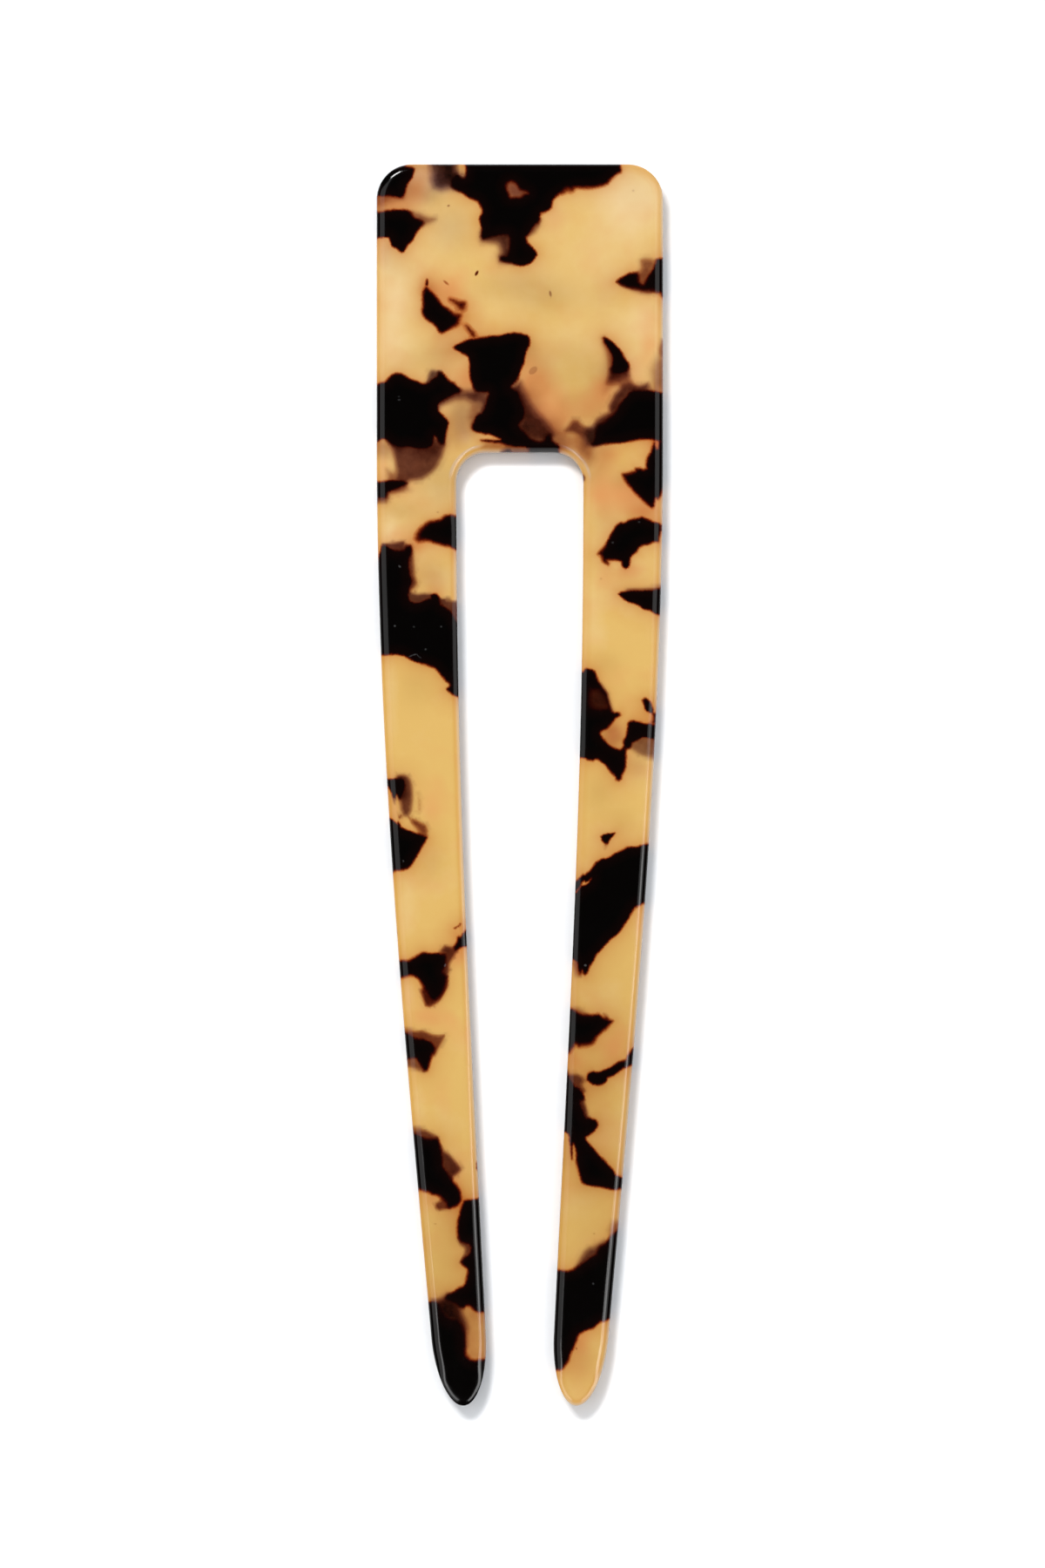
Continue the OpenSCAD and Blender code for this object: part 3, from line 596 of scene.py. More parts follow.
smoke([(3.8, 36.1), (4.6, 36.3), (5.2, 36.05), (6.3, 35.8), (6.9, 35.3), (7.2, 34.7), (6.9, 34.0),
       (6.3, 33.4), (5.3, 34.1), (4.2, 34.3), (3.6, 34.9)], 0.5, 0.28, 0.95, False)
smoke([(4.7, 36.2), (5.1, 36.9), (5.4, 37.3), (5.9, 37.3), (6.3, 36.92), (6.8, 36.62), (7.3, 36.4),
       (7.0, 35.6), (6.4, 35.6), (5.8, 36.0), (5.2, 36.1)], 0.25, 0.6, 0.8, False)
smoke([(7.95, 36.8), (7.2, 36.5), (6.8, 36.3), (6.7, 35.5), (6.9, 34.95), (7.5, 34.75),
       (8.0, 35.0)], 0.35, 0.8, 0.0)
smoke([(9.2, 38.1), (9.15, 38.8), (9.4, 39.3), (9.7, 39.9), (10.1, 40.35), (10.6, 40.75),
       (11.3, 40.95), (12.0, 40.75), (12.6, 40.9), (13.1, 41.05), (13.2, 40.7), (12.9, 40.35),
       (11.5, 40.2), (10.6, 39.3), (10.0, 38.4), (9.0, 37.4), (8.2, 36.8), (7.6, 36.8), (7.9, 37.4),
       (8.6, 37.8)], 0.3, 0.7, 0.4)
smoke([(9.3, 42.4), (10.4, 42.2), (11.1, 42.3), (11.25, 41.7), (11.6, 41.1), (12.0, 40.7),
       (11.2, 40.5), (10.5, 40.5), (10.0, 40.95), (9.3, 41.0), (8.85, 41.1), (9.0, 41.7)],
      0.3, 0.49, 0.85, False)
smoke([(9.3, 42.5), (10.4, 42.3), (11.0, 42.4), (11.1, 41.9), (10.2, 41.6), (9.2, 41.6)],
      0.3, 0.6, 0.4, False)
smoke([(8.45, 45.7), (8.5, 45.0), (8.75, 44.5), (9.0, 43.8), (9.1, 43.0), (9.2, 42.3), (9.6, 42.2),
       (9.6, 43.6), (9.2, 44.8)], 0.3, 0.34, 0.85, False)
smoke([(12.35, 53.7), (12.8, 53.85), (13.3, 53.8), (13.9, 53.5), (13.4, 52.4), (12.9, 51.4),
       (12.5, 51.1), (12.15, 51.6), (12.1, 52.3), (12.4, 52.9)], 0.3, 0.5, 0.8)
smoke([(10.4, 51.2), (11.4, 50.75), (12.4, 50.4), (13.2, 50.3), (13.8, 50.45), (13.8, 50.8),
       (12.4, 50.8), (11.0, 51.1)], 0.3, 0.55, 0.45, False)
smoke([(15.2, 46.0), (14.5, 45.5), (14.2, 44.6), (14.3, 44.0), (15.2, 43.8)], 0.25, 0.42, 0.7, False)
smoke([(15.2, 44.2), (14.1, 43.8), (13.5, 42.4), (13.7, 40.4), (15.2, 40.2)], 0.5, 0.36, 0.5, False)
smoke([(-1.9, 34.0), (-1.7, 34.4), (-1.2, 34.6), (1.0, 34.5), (1.0, 33.8)], 0.2, 0.42, 0.45, False)
smoke([(-1.75, 34.05), (-1.6, 34.3), (-1.0, 34.3), (-0.8, 34.0)], 0.15, 0.7, 0.3, False)
smoke([(-3.9, 34.5), (-3.6, 34.9), (-2.6, 35.0), (-1.7, 34.8), (-1.7, 34.4), (-2.6, 34.4)],
      0.3, 0.3, 1.0, False)
smoke([(6.42, 31.8), (6.6, 31.62), (6.7, 31.4), (6.6, 31.1), (6.3, 31.1)], 0.12, 0.6, 0.7, False)
smoke([(-7.2, 40.0), (-4.6, 40.0), (-4.4, 38.0), (-4.9, 36.6), (-4.6, 35.6), (-6.4, 34.8), (-7.4, 35.4),
       (-7.1, 37.0)], 0.9, 0.15, 0.5, False)
print("smoke on the crown:", len(SMOKES))

# %% Smoke on the prongs
smoke([(-15.2, 29.6), (-13.6, 29.8), (-13.4, 29.4), (-13.6, 28.9), (-15.2, 28.9)], 0.3, 0.5, 0.5, False)
smoke([(-13.4, 30.2), (-12.4, 30.4), (-11.7, 30.6), (-11.9, 30.1), (-12.8, 29.8), (-13.5, 29.7)],
      0.3, 0.4, 0.7, False)
smoke([(-14.05, 24.62), (-13.2, 24.72), (-12.5, 24.84), (-11.9, 24.92), (-11.72, 24.66),
       (-11.85, 24.1), (-12.4, 23.8), (-13.2, 24.0), (-13.7, 24.4)], 0.18, 0.66, 0.4, False)
smoke([(-11.5, 24.5), (-11.12, 24.4), (-10.95, 23.4), (-10.85, 22.4), (-10.8, 21.4), (-10.55, 20.6),
       (-10.9, 20.1), (-11.4, 19.8), (-11.5, 22)], 0.25, 0.65, 0.65)
smoke([(-11.5, 19.8), (-11.0, 19.66), (-10.4, 19.5), (-9.8, 19.58), (-9.3, 19.5), (-9.0, 19.3),
       (-9.5, 18.75), (-10.6, 18.5), (-11.4, 18.75)], 0.18, 0.61, 0.3)
smoke([(-8.2, 19.0), (-7.7, 19.06), (-7.2, 19.02), (-6.8, 18.8), (-6.0, 18.5), (-6.0, 16.5),
       (-6.7, 16.9), (-7.0, 17.6), (-7.8, 18.2)], 0.14, 0.6, 0.35)
smoke([(-7.4, 10.7), (-7.2, 10.6), (-6.95, 10.2), (-7.0, 9.7), (-7.3, 9.8), (-7.1, 10.2)],
      0.15, 0.45, 0.5, False)
smoke([(-12.5, 0.95), (-11.9, 1.0), (-11.5, 0.85), (-11.2, 0.5), (-11.05, -0.2), (-10.98, -1.5),
       (-11.1, -2.6), (-11.4, -3.2), (-11.9, -3.15), (-12.15, -2.5), (-12.3, -1.4), (-12.4, 0.4)],
      0.24, 0.58, 0.5)
smoke([(-12.2, 0.8), (-11.7, 0.7), (-11.5, 0.1), (-11.5, -0.7), (-11.8, -1.5), (-12.2, -1.4)],
      0.35, 0.4, 0.35, False)
smoke([(-10.4, -0.9), (-10.15, -1.6), (-10.12, -2.5), (-10.3, -2.9), (-10.45, -2.2)],
      0.2, 0.22, 1.0, False)
smoke([(-12.45, -3.1), (-12.2, -3.1), (-12.15, -3.35), (-12.35, -3.45)], 0.12, 0.6, 0.8, False)
smoke([(-13.0, -1.2), (-12.75, -1.2), (-12.78, -1.9), (-12.9, -1.8)], 0.12, 0.4, 0.2, False)
smoke([(-11.3, -3.35), (-10.7, -3.55), (-10.1, -3.85), (-9.6, -4.15), (-9.42, -4.7), (-9.6, -5.15),
       (-10.1, -4.95), (-10.6, -4.4), (-11.1, -3.85)], 0.18, 0.56, 1.0)
smoke([(-8.1, -16.95), (-7.7, -16.45), (-7.0, -16.6), (-6.55, -16.85), (-6.65, -17.4), (-7.0, -17.9),
       (-7.25, -18.3), (-7.25, -19.0), (-7.45, -19.6), (-7.9, -19.4), (-7.7, -18.2), (-7.6, -17.2)],
      0.18, 0.68, 0.6)
smoke([(-10.2, -20.9), (-9.85, -22.0), (-9.65, -22.6), (-9.2, -22.7), (-8.7, -22.42), (-8.2, -22.05),
       (-7.75, -21.3), (-7.4, -20.6), (-7.35, -19.6), (-7.7, -19.6), (-8.2, -21.2), (-9.0, -21.7),
       (-9.6, -20.9)], 0.16, 0.74, 1.0, False)
smoke([(-12.3, -25.05), (-11.2, -25.08), (-10.6, -25.2), (-10.0, -25.12), (-9.4, -25.35),
       (-8.9, -25.55), (-8.3, -25.62), (-7.65, -25.55), (-7.85, -26.1), (-8.15, -26.6),
       (-8.45, -27.1), (-8.75, -27.7), (-9.0, -26.9), (-9.4, -26.3), (-10.0, -26.0),
       (-11.0, -25.8), (-12.3, -25.6)], 0.16, 0.6, 0.85)
smoke([(-12.0, -27.9), (-10.9, -27.9), (-10.4, -28.2), (-10.0, -28.7), (-9.8, -29.3),
       (-10.3, -29.2), (-10.9, -28.95), (-12.0, -28.7)], 0.24, 0.5, 0.6, False)
smoke([(-12.0, -35.1), (-10.2, -35.15), (-9.6, -35.35), (-9.0, -35.65), (-8.4, -36.0),
       (-8.5, -36.4), (-9.4, -36.2), (-10.1, -36.0), (-12.0, -35.9)], 0.18, 0.6, 0.6)
smoke([(-8.2, -36.9), (-7.85, -37.4), (-7.3, -37.75), (-6.8, -38.3), (-6.35, -38.8), (-6.0, -39.3),
       (-6.3, -39.7), (-6.8, -40.05), (-7.1, -40.3), (-7.6, -39.7), (-7.9, -39.2), (-8.1, -38.2)],
      0.22, 0.67, 0.55)
smoke([(-8.65, -42.85), (-8.1, -42.5), (-7.6, -42.5), (-7.2, -42.9), (-7.25, -43.3), (-7.9, -43.42),
       (-8.3, -43.52), (-8.65, -43.2)], 0.16, 0.6, 0.8)
smoke([(-6.3, -46.5), (-5.5, -46.75), (-5.0, -46.85), (-4.9, -47.5), (-5.1, -48.2), (-5.6, -48.55),
       (-5.95, -48.7), (-5.65, -47.9), (-5.6, -47.4), (-6.1, -47.0)], 0.18, 0.55, 0.45, False)
smoke([(-8.9, -52.95), (-8.0, -52.6), (-7.4, -52.2), (-6.8, -52.6), (-6.2, -53.2), (-5.95, -54.2),
       (-5.6, -54.9), (-5.45, -55.6), (-5.6, -56.4), (-5.6, -57.4), (-6.3, -57.4), (-6.5, -55.0),
       (-8.3, -54.4)], 0.4, 0.86, 0.4)
smoke([(-8.6, -53.2), (-7.2, -53.2), (-6.4, -54.4), (-7.0, -55.2), (-8.2, -54.8)], 0.6, 0.5, 0.5, False)
smoke([(11.5, 4.3), (11.9, 4.7), (12.4, 5.0), (13.0, 4.95), (15.0, 4.8), (15.0, 2.6), (13.2, 2.8),
       (12.6, 3.0), (12.0, 3.3), (11.6, 3.6), (11.3, 3.95)], 0.28, 0.44, 0.3)
smoke([(7.0, 10.1), (8.2, 10.2), (8.9, 9.3), (9.1, 8.4), (9.3, 7.8), (8.9, 7.5), (7.6, 7.4),
       (6.8, 8.1), (6.8, 9.0)], 0.3, 0.84, 0.4, False)
smoke([(11.0, 20.0), (12.5, 20.05), (15.0, 20.3), (15.0, 19.8), (11.0, 19.8)], 0.25, 0.4, 0.5, False)
smoke([(8.8, -6.0), (8.62, -6.45), (8.74, -6.5), (8.95, -6.0)], 0.12, 0.3, 1.0, False)
smoke([(4.3, -29.3), (5.2, -29.56), (5.8, -29.56), (6.4, -29.86), (6.6, -30.3), (6.35, -30.7),
       (6.7, -31.3), (6.2, -31.2), (5.6, -30.8), (5.1, -30.5), (4.85, -30.0), (4.3, -29.6)],
      0.2, 0.56, 0.5)
smoke([(6.45, -32.1), (6.7, -32.8), (6.9, -33.5), (7.0, -34.2), (6.6, -34.1), (6.3, -33.2),
       (6.1, -32.6)], 0.2, 0.67, 0.5, False)
smoke([(5.9, -49.2), (6.3, -48.4), (6.7, -47.75), (7.1, -47.4), (7.6, -47.3), (8.1, -47.0),
       (8.6, -46.7), (8.4, -47.4), (7.5, -48.4), (6.9, -48.9)], 0.36, 0.62, 0.35)
smoke([(9.3, -46.3), (9.2, -45.4), (9.5, -44.7), (9.9, -44.6), (11, -44.8), (11, -46.0)],
      0.35, 0.35, 0.7, False)
smoke([(5.9, -18.0), (6.1, -18.6), (6.2, -19.4), (5.7, -19.4), (5.4, -18.2)], 0.25, 0.4, 0.9, False)
smoke([(5.9, -22.8), (6.4, -23.0), (6.8, -23.4), (6.0, -23.5), (5.6, -23.1)], 0.25, 0.3, 0.6, False)
smoke([(-5.7, -53.4), (-3.0, -53.4), (-3.0, -59.0), (-5.7, -59.0)], 0.6, 0.18, 0.9, False)
smoke([(8.4, 6.2), (10.2, 6.2), (10.4, 4.6), (9.8, 3.9), (8.6, 4.6)], 0.6, 0.12, 1.0, False)
smoke([(8.56, -23.3), (8.72, -23.34), (8.98, -23.72), (8.94, -23.84), (8.8, -23.72), (8.6, -23.48)],
      0.1, 0.5, 1.0, False)
print("smoke in all:", len(SMOKES))

# %% [markdown]
# ## Dots, dust and scuffs
# A few grains of dark acetate lie alone in the pale ground, and dust and one small scuff catch the
# light on the black. They are listed as discs: centre, half length, half width and turn in degrees,
# then how dark and how warm a grain is, or how bright a speck is.

# %% Grains and specks
GRAINS = [
    (-4.42, 52.35, 0.27, 0.13, 60, 0.78, 0.95), (-7.3, 59.25, 0.14, 0.1, 20, 0.3, 0.5),
    (3.12, 50.25, 0.3, 0.13, 100, 0.3, 0.4), (-7.55, 51.38, 0.34, 0.12, -40, 0.3, 1.0),
    (11.6, 60.8, 0.12, 0.1, 0, 0.1, 0.2), (1.35, 42.4, 0.5, 0.32, 40, 0.16, 0.5),
    (-12.55, -15.25, 0.13, 0.1, 90, 0.5, 0.3), (5.8, -57.65, 0.1, 0.07, 90, 0.4, 0.9),
    (-8.4, 27.9, 0.12, 0.1, 0, 0.14, 0.5), (-8.65, -44.9, 0.12, 0.06, 0, 0.15, 0.6),
    (8.3, 21.1, 0.1, 0.08, 0, 0.12, 0.5), (7.6, -45.9, 0.12, 0.1, 0, 0.12, 0.6),
]
SPECKS = [
    (-12.35, 39.4, 0.13, 0.08, 10, 0.45), (-12.38, 39.72, 0.1, 0.07, 0, 0.25),
    (-12.3, 22.35, 0.14, 0.09, -40, 0.8), (-12.8, 16.27, 0.1, 0.09, 0, 0.9),
    (-10.85, 16.18, 0.1, 0.08, 0, 0.4), (-8.05, 16.2, 0.09, 0.08, 0, 0.6),
    (-9.65, 13.88, 0.1, 0.09, 0, 0.6), (-7.05, 27.25, 0.12, 0.1, 0, 0.9),
    (-11.95, -7.78, 0.1, 0.09, 0, 0.7), (-7.65, -18.45, 0.16, 0.08, 70, 0.9),
    (6.7, -18.45, 0.13, 0.1, 0, 1.0), (7.5, -51.02, 0.1, 0.1, 0, 0.55),
    (9.5, 24.8, 0.12, 0.1, 0, 0.35), (12.2, 26.9, 0.12, 0.08, 0, 0.35),
    (-11.15, 13.2, 0.2, 0.05, 24, 0.75),
    (-10.8, 13.33, 0.2, 0.05, 12, 0.95), (-10.45, 13.25, 0.18, 0.04, -50, 0.6),
    (-10.2, 13.05, 0.13, 0.05, -40, 0.4),
]
print("grains", len(GRAINS), "specks", len(SPECKS))

# %% [markdown]
# ## Drift of the ground
# The pale chips aren't all one colour. Some are creamier and some more orange, mostly beside a flake,
# and where the sheet is clearer the ground looks deeper. A noise texture gives such drift, but not in
# these places, so soft patches are listed by centre and reach, and only a faint noise is added later.

# %% Patches of the ground: centre, reach in x and y, then how much creamier and how much more orange
TINTS = [
    (-12.8, 52.0, 2.2, 3.2, 0.45, 0.0), (-9.9, 62.3, 1.2, 1.2, 0.35, 0.1),
    (-7.3, 57.3, 2.2, 2.2, 0.15, -0.1), (-7.2, 51.0, 2.0, 1.8, 0.0, 0.55),
    (-12.2, 45.5, 2.0, 2.5, 0.3, 0.0), (0.0, 50.2, 3.0, 2.5, 0.1, 0.0),
    (11.8, 60.2, 3.4, 2.8, 0.85, 0.0), (9.5, 56.8, 4.0, 3.2, 0.15, 0.0),
    (12.6, 47.3, 1.8, 2.4, 0.5, 0.1), (3.6, 58.2, 1.3, 1.8, 0.2, 0.3),
    (1.6, 42.6, 1.6, 2.0, 0.0, 0.6), (2.4, 39.0, 1.8, 2.0, 0.0, 0.7),
    (4.6, 39.6, 1.6, 2.4, 0.0, 0.2), (-5.6, 41.6, 0.9, 1.6, 0.0, 0.7),
    (-6.2, 36.8, 1.2, 2.6, -0.2, 0.3), (8.4, 40.2, 1.4, 2.0, 0.0, 0.5),
    (11.6, 42.6, 1.2, 1.6, 0.2, 0.3), (9.5, 33.9, 2.0, 0.8, -0.1, 0.4),
    (8.4, 30.2, 1.8, 2.6, 0.0, 0.7), (12.4, 28.0, 1.6, 0.6, 0.0, 0.5),
    (-13.9, 32.6, 0.7, 1.8, 0.2, 0.5), (-13.4, 26.2, 0.8, 2.0, 0.45, 0.0),
    (-10.4, 24.6, 1.2, 0.8, 0.0, 0.5), (-8.6, 20.6, 1.6, 1.4, 0.0, 0.3),
    (-13.2, 9.0, 0.8, 4.5, 0.4, 0.0), (-9.0, -1.8, 1.6, 2.6, 0.0, 0.5),
    (-12.6, -2.6, 0.6, 0.8, 0.1, 0.5), (-11.6, -12.5, 0.9, 3.4, 0.4, 0.0),
    (-6.3, -17.6, 0.7, 1.2, 0.0, 0.6), (-9.0, -24.0, 2.0, 1.2, 0.0, 0.6),
    (-11.4, -21.5, 0.5, 1.4, 0.4, 0.2), (-10.4, -32.5, 0.7, 2.4, 0.35, 0.0),
    (-6.6, -40.0, 0.8, 2.0, 0.0, 0.4), (-9.0, -42.6, 0.7, 0.8, 0.0, 0.5),
    (-4.8, -56.0, 0.8, 2.2, 0.0, 0.2), (8.0, 16.2, 1.4, 2.4, 0.3, 0.0),
    (11.8, 22.0, 1.6, 0.9, 0.1, 0.5), (9.6, 5.0, 1.0, 1.2, 0.0, 0.5),
    (12.4, 1.8, 0.8, 1.0, 0.1, 0.3), (7.4, -2.6, 1.2, 2.6, 0.0, 0.15),
    (12.2, -14.6, 0.6, 1.4, 0.3, 0.3), (9.6, -21.0, 1.6, 1.6, 0.2, 0.0),
    (9.4, -27.0, 1.6, 1.6, 0.0, 0.75), (5.8, -28.4, 0.8, 0.8, 0.0, 0.5),
    (8.4, -32.6, 1.4, 1.2, 0.0, 0.25), (8.6, -37.0, 1.2, 1.2, 0.0, 0.3),
    (5.2, -38.6, 0.5, 2.0, 0.0, 0.3), (6.6, -60.5, 1.6, 2.0, 0.0, 0.15),
    (6.4, -57.0, 0.8, 1.4, 0.0, 0.5), (9.0, 21.0, 1.6, 1.2, 0.0, 0.4),
    (10.5, -25.4, 0.8, 1.0, 0.0, 0.5), (6.2, -58.6, 1.6, 1.8, 0.0, 0.5),
    (-13.4, 59.5, 2.0, 0.9, 0.2, 0.7), (-10.4, 60.4, 1.4, 1.4, 0.35, 0.5), (-9.6, 62.6, 1.0, 1.2, 0.3, 0.4),
    (-8.0, 61.8, 1.2, 1.2, 0.6, 0.0), (-0.5, 60.8, 0.8, 0.8, 0.7, 0.0), (-7.5, 56.5, 2.0, 2.0, 0.25, 0.0),
    (-12.5, 49.0, 1.5, 2.0, 0.35, 0.0), (-8.0, 30.0, 1.6, 2.4, 0.3, 0.0), (-8.0, 21.0, 1.5, 1.2, 0.3, 0.0),
    (-6.0, 37.5, 1.0, 1.6, 0.4, -0.2), (-10.0, -23.5, 1.2, 0.8, 0.0, 0.3), (-7.0, -24.0, 1.0, 1.5, 0.0, 0.4),
    (9.0, 17.0, 1.5, 1.6, -0.3, 0.0), (9.5, 5.0, 1.0, 1.0, 0.0, 0.5), (8.0, 30.0, 1.2, 1.5, 0.0, 0.3),
    (2.5, 41.0, 1.2, 1.2, 0.0, 0.3), (-13.4, 46.0, 1.2, 4.0, 0.3, 0.05), (13.4, 44.6, 1.0, 1.2, 0.0, 0.45),
    (-13.9, 54.6, 0.8, 1.6, 0.7, 0.1), (13.2, 46.0, 1.0, 3.0, 0.1, 0.35), (-12.6, 25.6, 1.2, 1.0, 0.1, 0.3),
    (6.0, 38.6, 2.4, 1.8, 0.0, 0.55), (3.8, 36.8, 1.2, 1.2, 0.0, 0.9), (8.2, 40.2, 1.4, 1.5, 0.0, 0.5),
    (1.0, 40.6, 1.2, 1.2, 0.0, 0.8), (2.4, 38.3, 1.0, 1.0, 0.0, 0.3), (11.0, 29.6, 1.5, 1.5, 0.0, 0.8),
    (8.2, 33.0, 1.5, 1.3, 0.0, 0.3), (-10.6, 61.4, 1.2, 1.2, 0.6, 0.3), (-9.1, 50.7, 1.1, 1.0, -0.2, 0.6),
    (-7.2, 50.4, 1.2, 1.0, -0.1, 0.4), (-5.6, 35.6, 0.8, 1.0, 0.4, 0.0), (-5.8, 52.6, 1.0, 1.0, 0.0, 0.35),
]
print("tints:", len(TINTS))

# %% Deeper patches, with their amount, and stretches of edge with a wider fringe, by how much
DEEPS = [
    (7.5, -36.0, 6.0, 20.0, 1.0), (-7.5, -50.0, 4.0, 13.0, 1.0), (-8.0, 31.0, 2.4, 2.6, 1.1),
    (4.0, 44.0, 2.6, 2.0, 0.6), (3.0, 50.0, 3.0, 2.0, 0.9), (2.5, 41.0, 1.5, 1.5, 0.7),
    (5.0, 39.0, 1.5, 1.5, 0.7), (-9.0, 21.5, 1.8, 1.6, 1.0), (-12.0, 28.0, 2.0, 1.0, 0.7),
    (9.5, 5.0, 1.2, 1.3, 1.3), (12.0, 2.0, 1.2, 1.3, 0.9), (12.0, 28.0, 1.5, 1.0, 0.4),
    (-7.0, 57.0, 2.0, 2.4, 1.0), (-8.0, 44.0, 2.4, 1.6, 0.8), (0.0, 51.0, 2.5, 1.6, 0.7),
    (-3.0, 51.0, 2.0, 1.5, 0.4), (-6.0, 37.5, 1.2, 2.0, 1.0), (-10.5, 43.5, 2.0, 1.5, 0.3),
    (8.5, 50.0, 2.0, 2.0, 0.4), (-10.5, 10.0, 2.0, 2.0, 0.5), (-9.0, -8.0, 1.6, 2.0, 0.5),
    (8.5, 27.5, 1.5, 2.0, 0.5), (8.0, -1.0, 1.5, 2.0, 0.6), (10.5, -3.5, 1.5, 1.5, 0.4),
    (6.4, -59.0, 1.8, 2.2, 0.6), (9.0, 12.5, 1.5, 1.2, 0.4),
    (-9.6, 60.5, 1.4, 1.2, 0.5), (-12.5, 53.0, 1.6, 1.6, 0.3), (12.0, 60.5, 2.0, 2.0, 0.3),
    (6.2, 38.4, 2.4, 1.8, 0.75), (8.0, 33.0, 1.6, 1.4, 0.8), (3.9, 36.8, 1.2, 1.0, 0.9),
    (7.0, 43.0, 2.5, 2.0, 0.6), (8.2, 42.2, 1.2, 1.2, 0.5), (2.0, 43.0, 1.5, 1.2, 0.6),
    (5.0, 41.5, 2.0, 1.0, 0.4), (1.0, 44.5, 1.0, 1.0, 0.8), (10.0, 31.0, 1.0, 0.8, 0.5),
    (8.0, 40.0, 1.5, 1.5, 0.9), (-11.5, 61.0, 0.9, 0.9, 0.9), (-9.0, 60.4, 1.0, 1.0, 0.6),
    (8.6, 34.2, 1.2, 1.0, 0.6), (7.4, 31.5, 1.2, 1.5, 0.7), (7.4, 38.4, 1.2, 1.2, 0.5),
    (1.2, 40.3, 1.3, 1.3, 0.9), (-9.2, 50.8, 1.0, 0.9, 0.7), (-13.8, 54.5, 0.9, 1.6, 0.7),
]
WIDE_FRINGES = [
    (4.7, 61.0, 0.7, 1.6),
    (7.0, 61.0, 3.0, 0.9), (-6.2, 47.6, 1.2, 0.8), (12.5, 50.7, 1.5, 0.6), (8.5, 37.0, 1.5, 0.6),
    (11.0, 31.5, 1.2, 0.6), (8.6, 23.3, 1.2, 0.6), (-10.3, 25.5, 1.0, 0.6), (6.5, -26.5, 1.5, 0.5),
    (-5.7, -56.0, 1.2, 0.6), (13.8, 50.0, 1.0, 0.8),
]
print("deeper patches", len(DEEPS), "wider stretches", len(WIDE_FRINGES))

# %% [markdown]
# ## From outlines to distances
# A point's colour needs one thing of a flake: how far the point is from its edge, less than nothing
# inside. Such a distance could be stored as a picture, but a number at each point of the mesh stays
# sharp at any size, because the shader, not the mesh, decides where the edge falls between two points.

# %% Distance to an outline, cover of a disc, weight of a patch
FAR = 2.5


def outline_distance(points, x, y):
    """Distance in mm from each (x, y) to a closed outline, negative inside; FAR where it is further."""
    corners = np.array(points)
    distance = np.full(len(x), FAR)
    low, high = corners.min(0) - FAR, corners.max(0) + FAR
    near = np.where((x > low[0]) & (x < high[0]) & (y > low[1]) & (y < high[1]))[0]
    if not len(near):
        return distance
    px, py = x[near], y[near]
    best, inside = np.full(len(near), FAR * FAR), np.zeros(len(near), bool)
    for (ax, ay), (bx, by) in zip(corners, np.roll(corners, -1, axis=0)):
        dx, dy = bx - ax, by - ay
        t = np.clip(((px - ax) * dx + (py - ay) * dy) / (dx * dx + dy * dy), 0, 1)
        best = np.minimum(best, (px - ax - t * dx) ** 2 + (py - ay - t * dy) ** 2)
        if ay != by:
            inside ^= ((ay > py) != (by > py)) & (px < ax + (py - ay) * dx / dy)
    distance[near] = np.sqrt(best) * np.where(inside, -1, 1)
    return distance


def soft_step(value):
    """0 up to 0, 1 from 1 on, and a smooth rise between them."""
    value = np.clip(value, 0, 1)
    return value * value * (3 - 2 * value)


def disc_cover(disc, softness, x, y):
    """1 inside a turned, long disc and 0 outside, with an edge as soft as softness, in mm."""
    cx, cy, long_half, short_half, turn = disc[:5]
    c, s = math.cos(math.radians(turn)), math.sin(math.radians(turn))
    u, v = (x - cx) * c + (y - cy) * s, (y - cy) * c - (x - cx) * s
    distance = (np.hypot(u / long_half, v / short_half) - 1) * short_half
    return soft_step(0.5 - distance / softness)


def patch(x, y, cx, cy, reach_x, reach_y):
    """A soft patch: 1 at its centre, fading away over its reach."""
    return np.exp(-((x - cx) / reach_x) ** 2 - ((y - cy) / reach_y) ** 2)


print("a point in the crown's corner:", outline_distance(FLAKES[0][1], np.array([-12.5]), np.array([62.0])))

# %% [markdown]
# ## The flakes in depth
# The flakes go down into the sheet at a slant. A point deeper than the rounded rim looks up the chart
# a little to the side, and a buried flake, soft from above, has a crisp edge from 1.1 mm down. So the
# sides and the underside show their own cut through the same flakes, as a real sheet does. A flake
# also dims the ground round it, as a halo, and a small flake with few corners does so less.

# %% Flakes at a point
BURIED = 1.1
HALO_REACH, FULL_HALO_CORNERS = 0.9, 16
PLAIN_FRINGE = 0.2
WINDOW_CLOSING = 0.6


def flakes_at(x, y, depth):
    """Distance to the nearest flake's edge, the width of its fringe, and the halo of all flakes."""
    deeper = np.maximum(0, depth - BURIED)
    distance, fringe = np.full(len(x), FAR), np.full(len(x), PLAIN_FRINGE)
    halo = np.zeros(len(x))
    for name, points, width, lean, foot in FLAKES:
        d = outline_distance(points, x - lean[0] * deeper, y - lean[1] * deeper)
        d = np.maximum(d, depth - foot)
        dimming = np.where(d < FAR, np.exp(-np.maximum(d, 0) / HALO_REACH), 0)
        halo += dimming * min(1.0, len(points) / FULL_HALO_CORNERS)
        fringe = np.where(d < distance, width, fringe)
        distance = np.minimum(distance, d)
    for name, width, points in WINDOWS:
        d = -outline_distance(points, x, y) - deeper * WINDOW_CLOSING
        fringe = np.where(d > distance, width, fringe)
        distance = np.maximum(distance, d)
    for cx, cy, reach, more in WIDE_FRINGES:
        fringe = fringe * (1 + more * patch(x, y, cx, cy, reach, reach))
    return distance, fringe, halo


print("a point in the crown's middle:", flakes_at(np.array([0.0]), np.array([50.0]), np.array([0.0])))

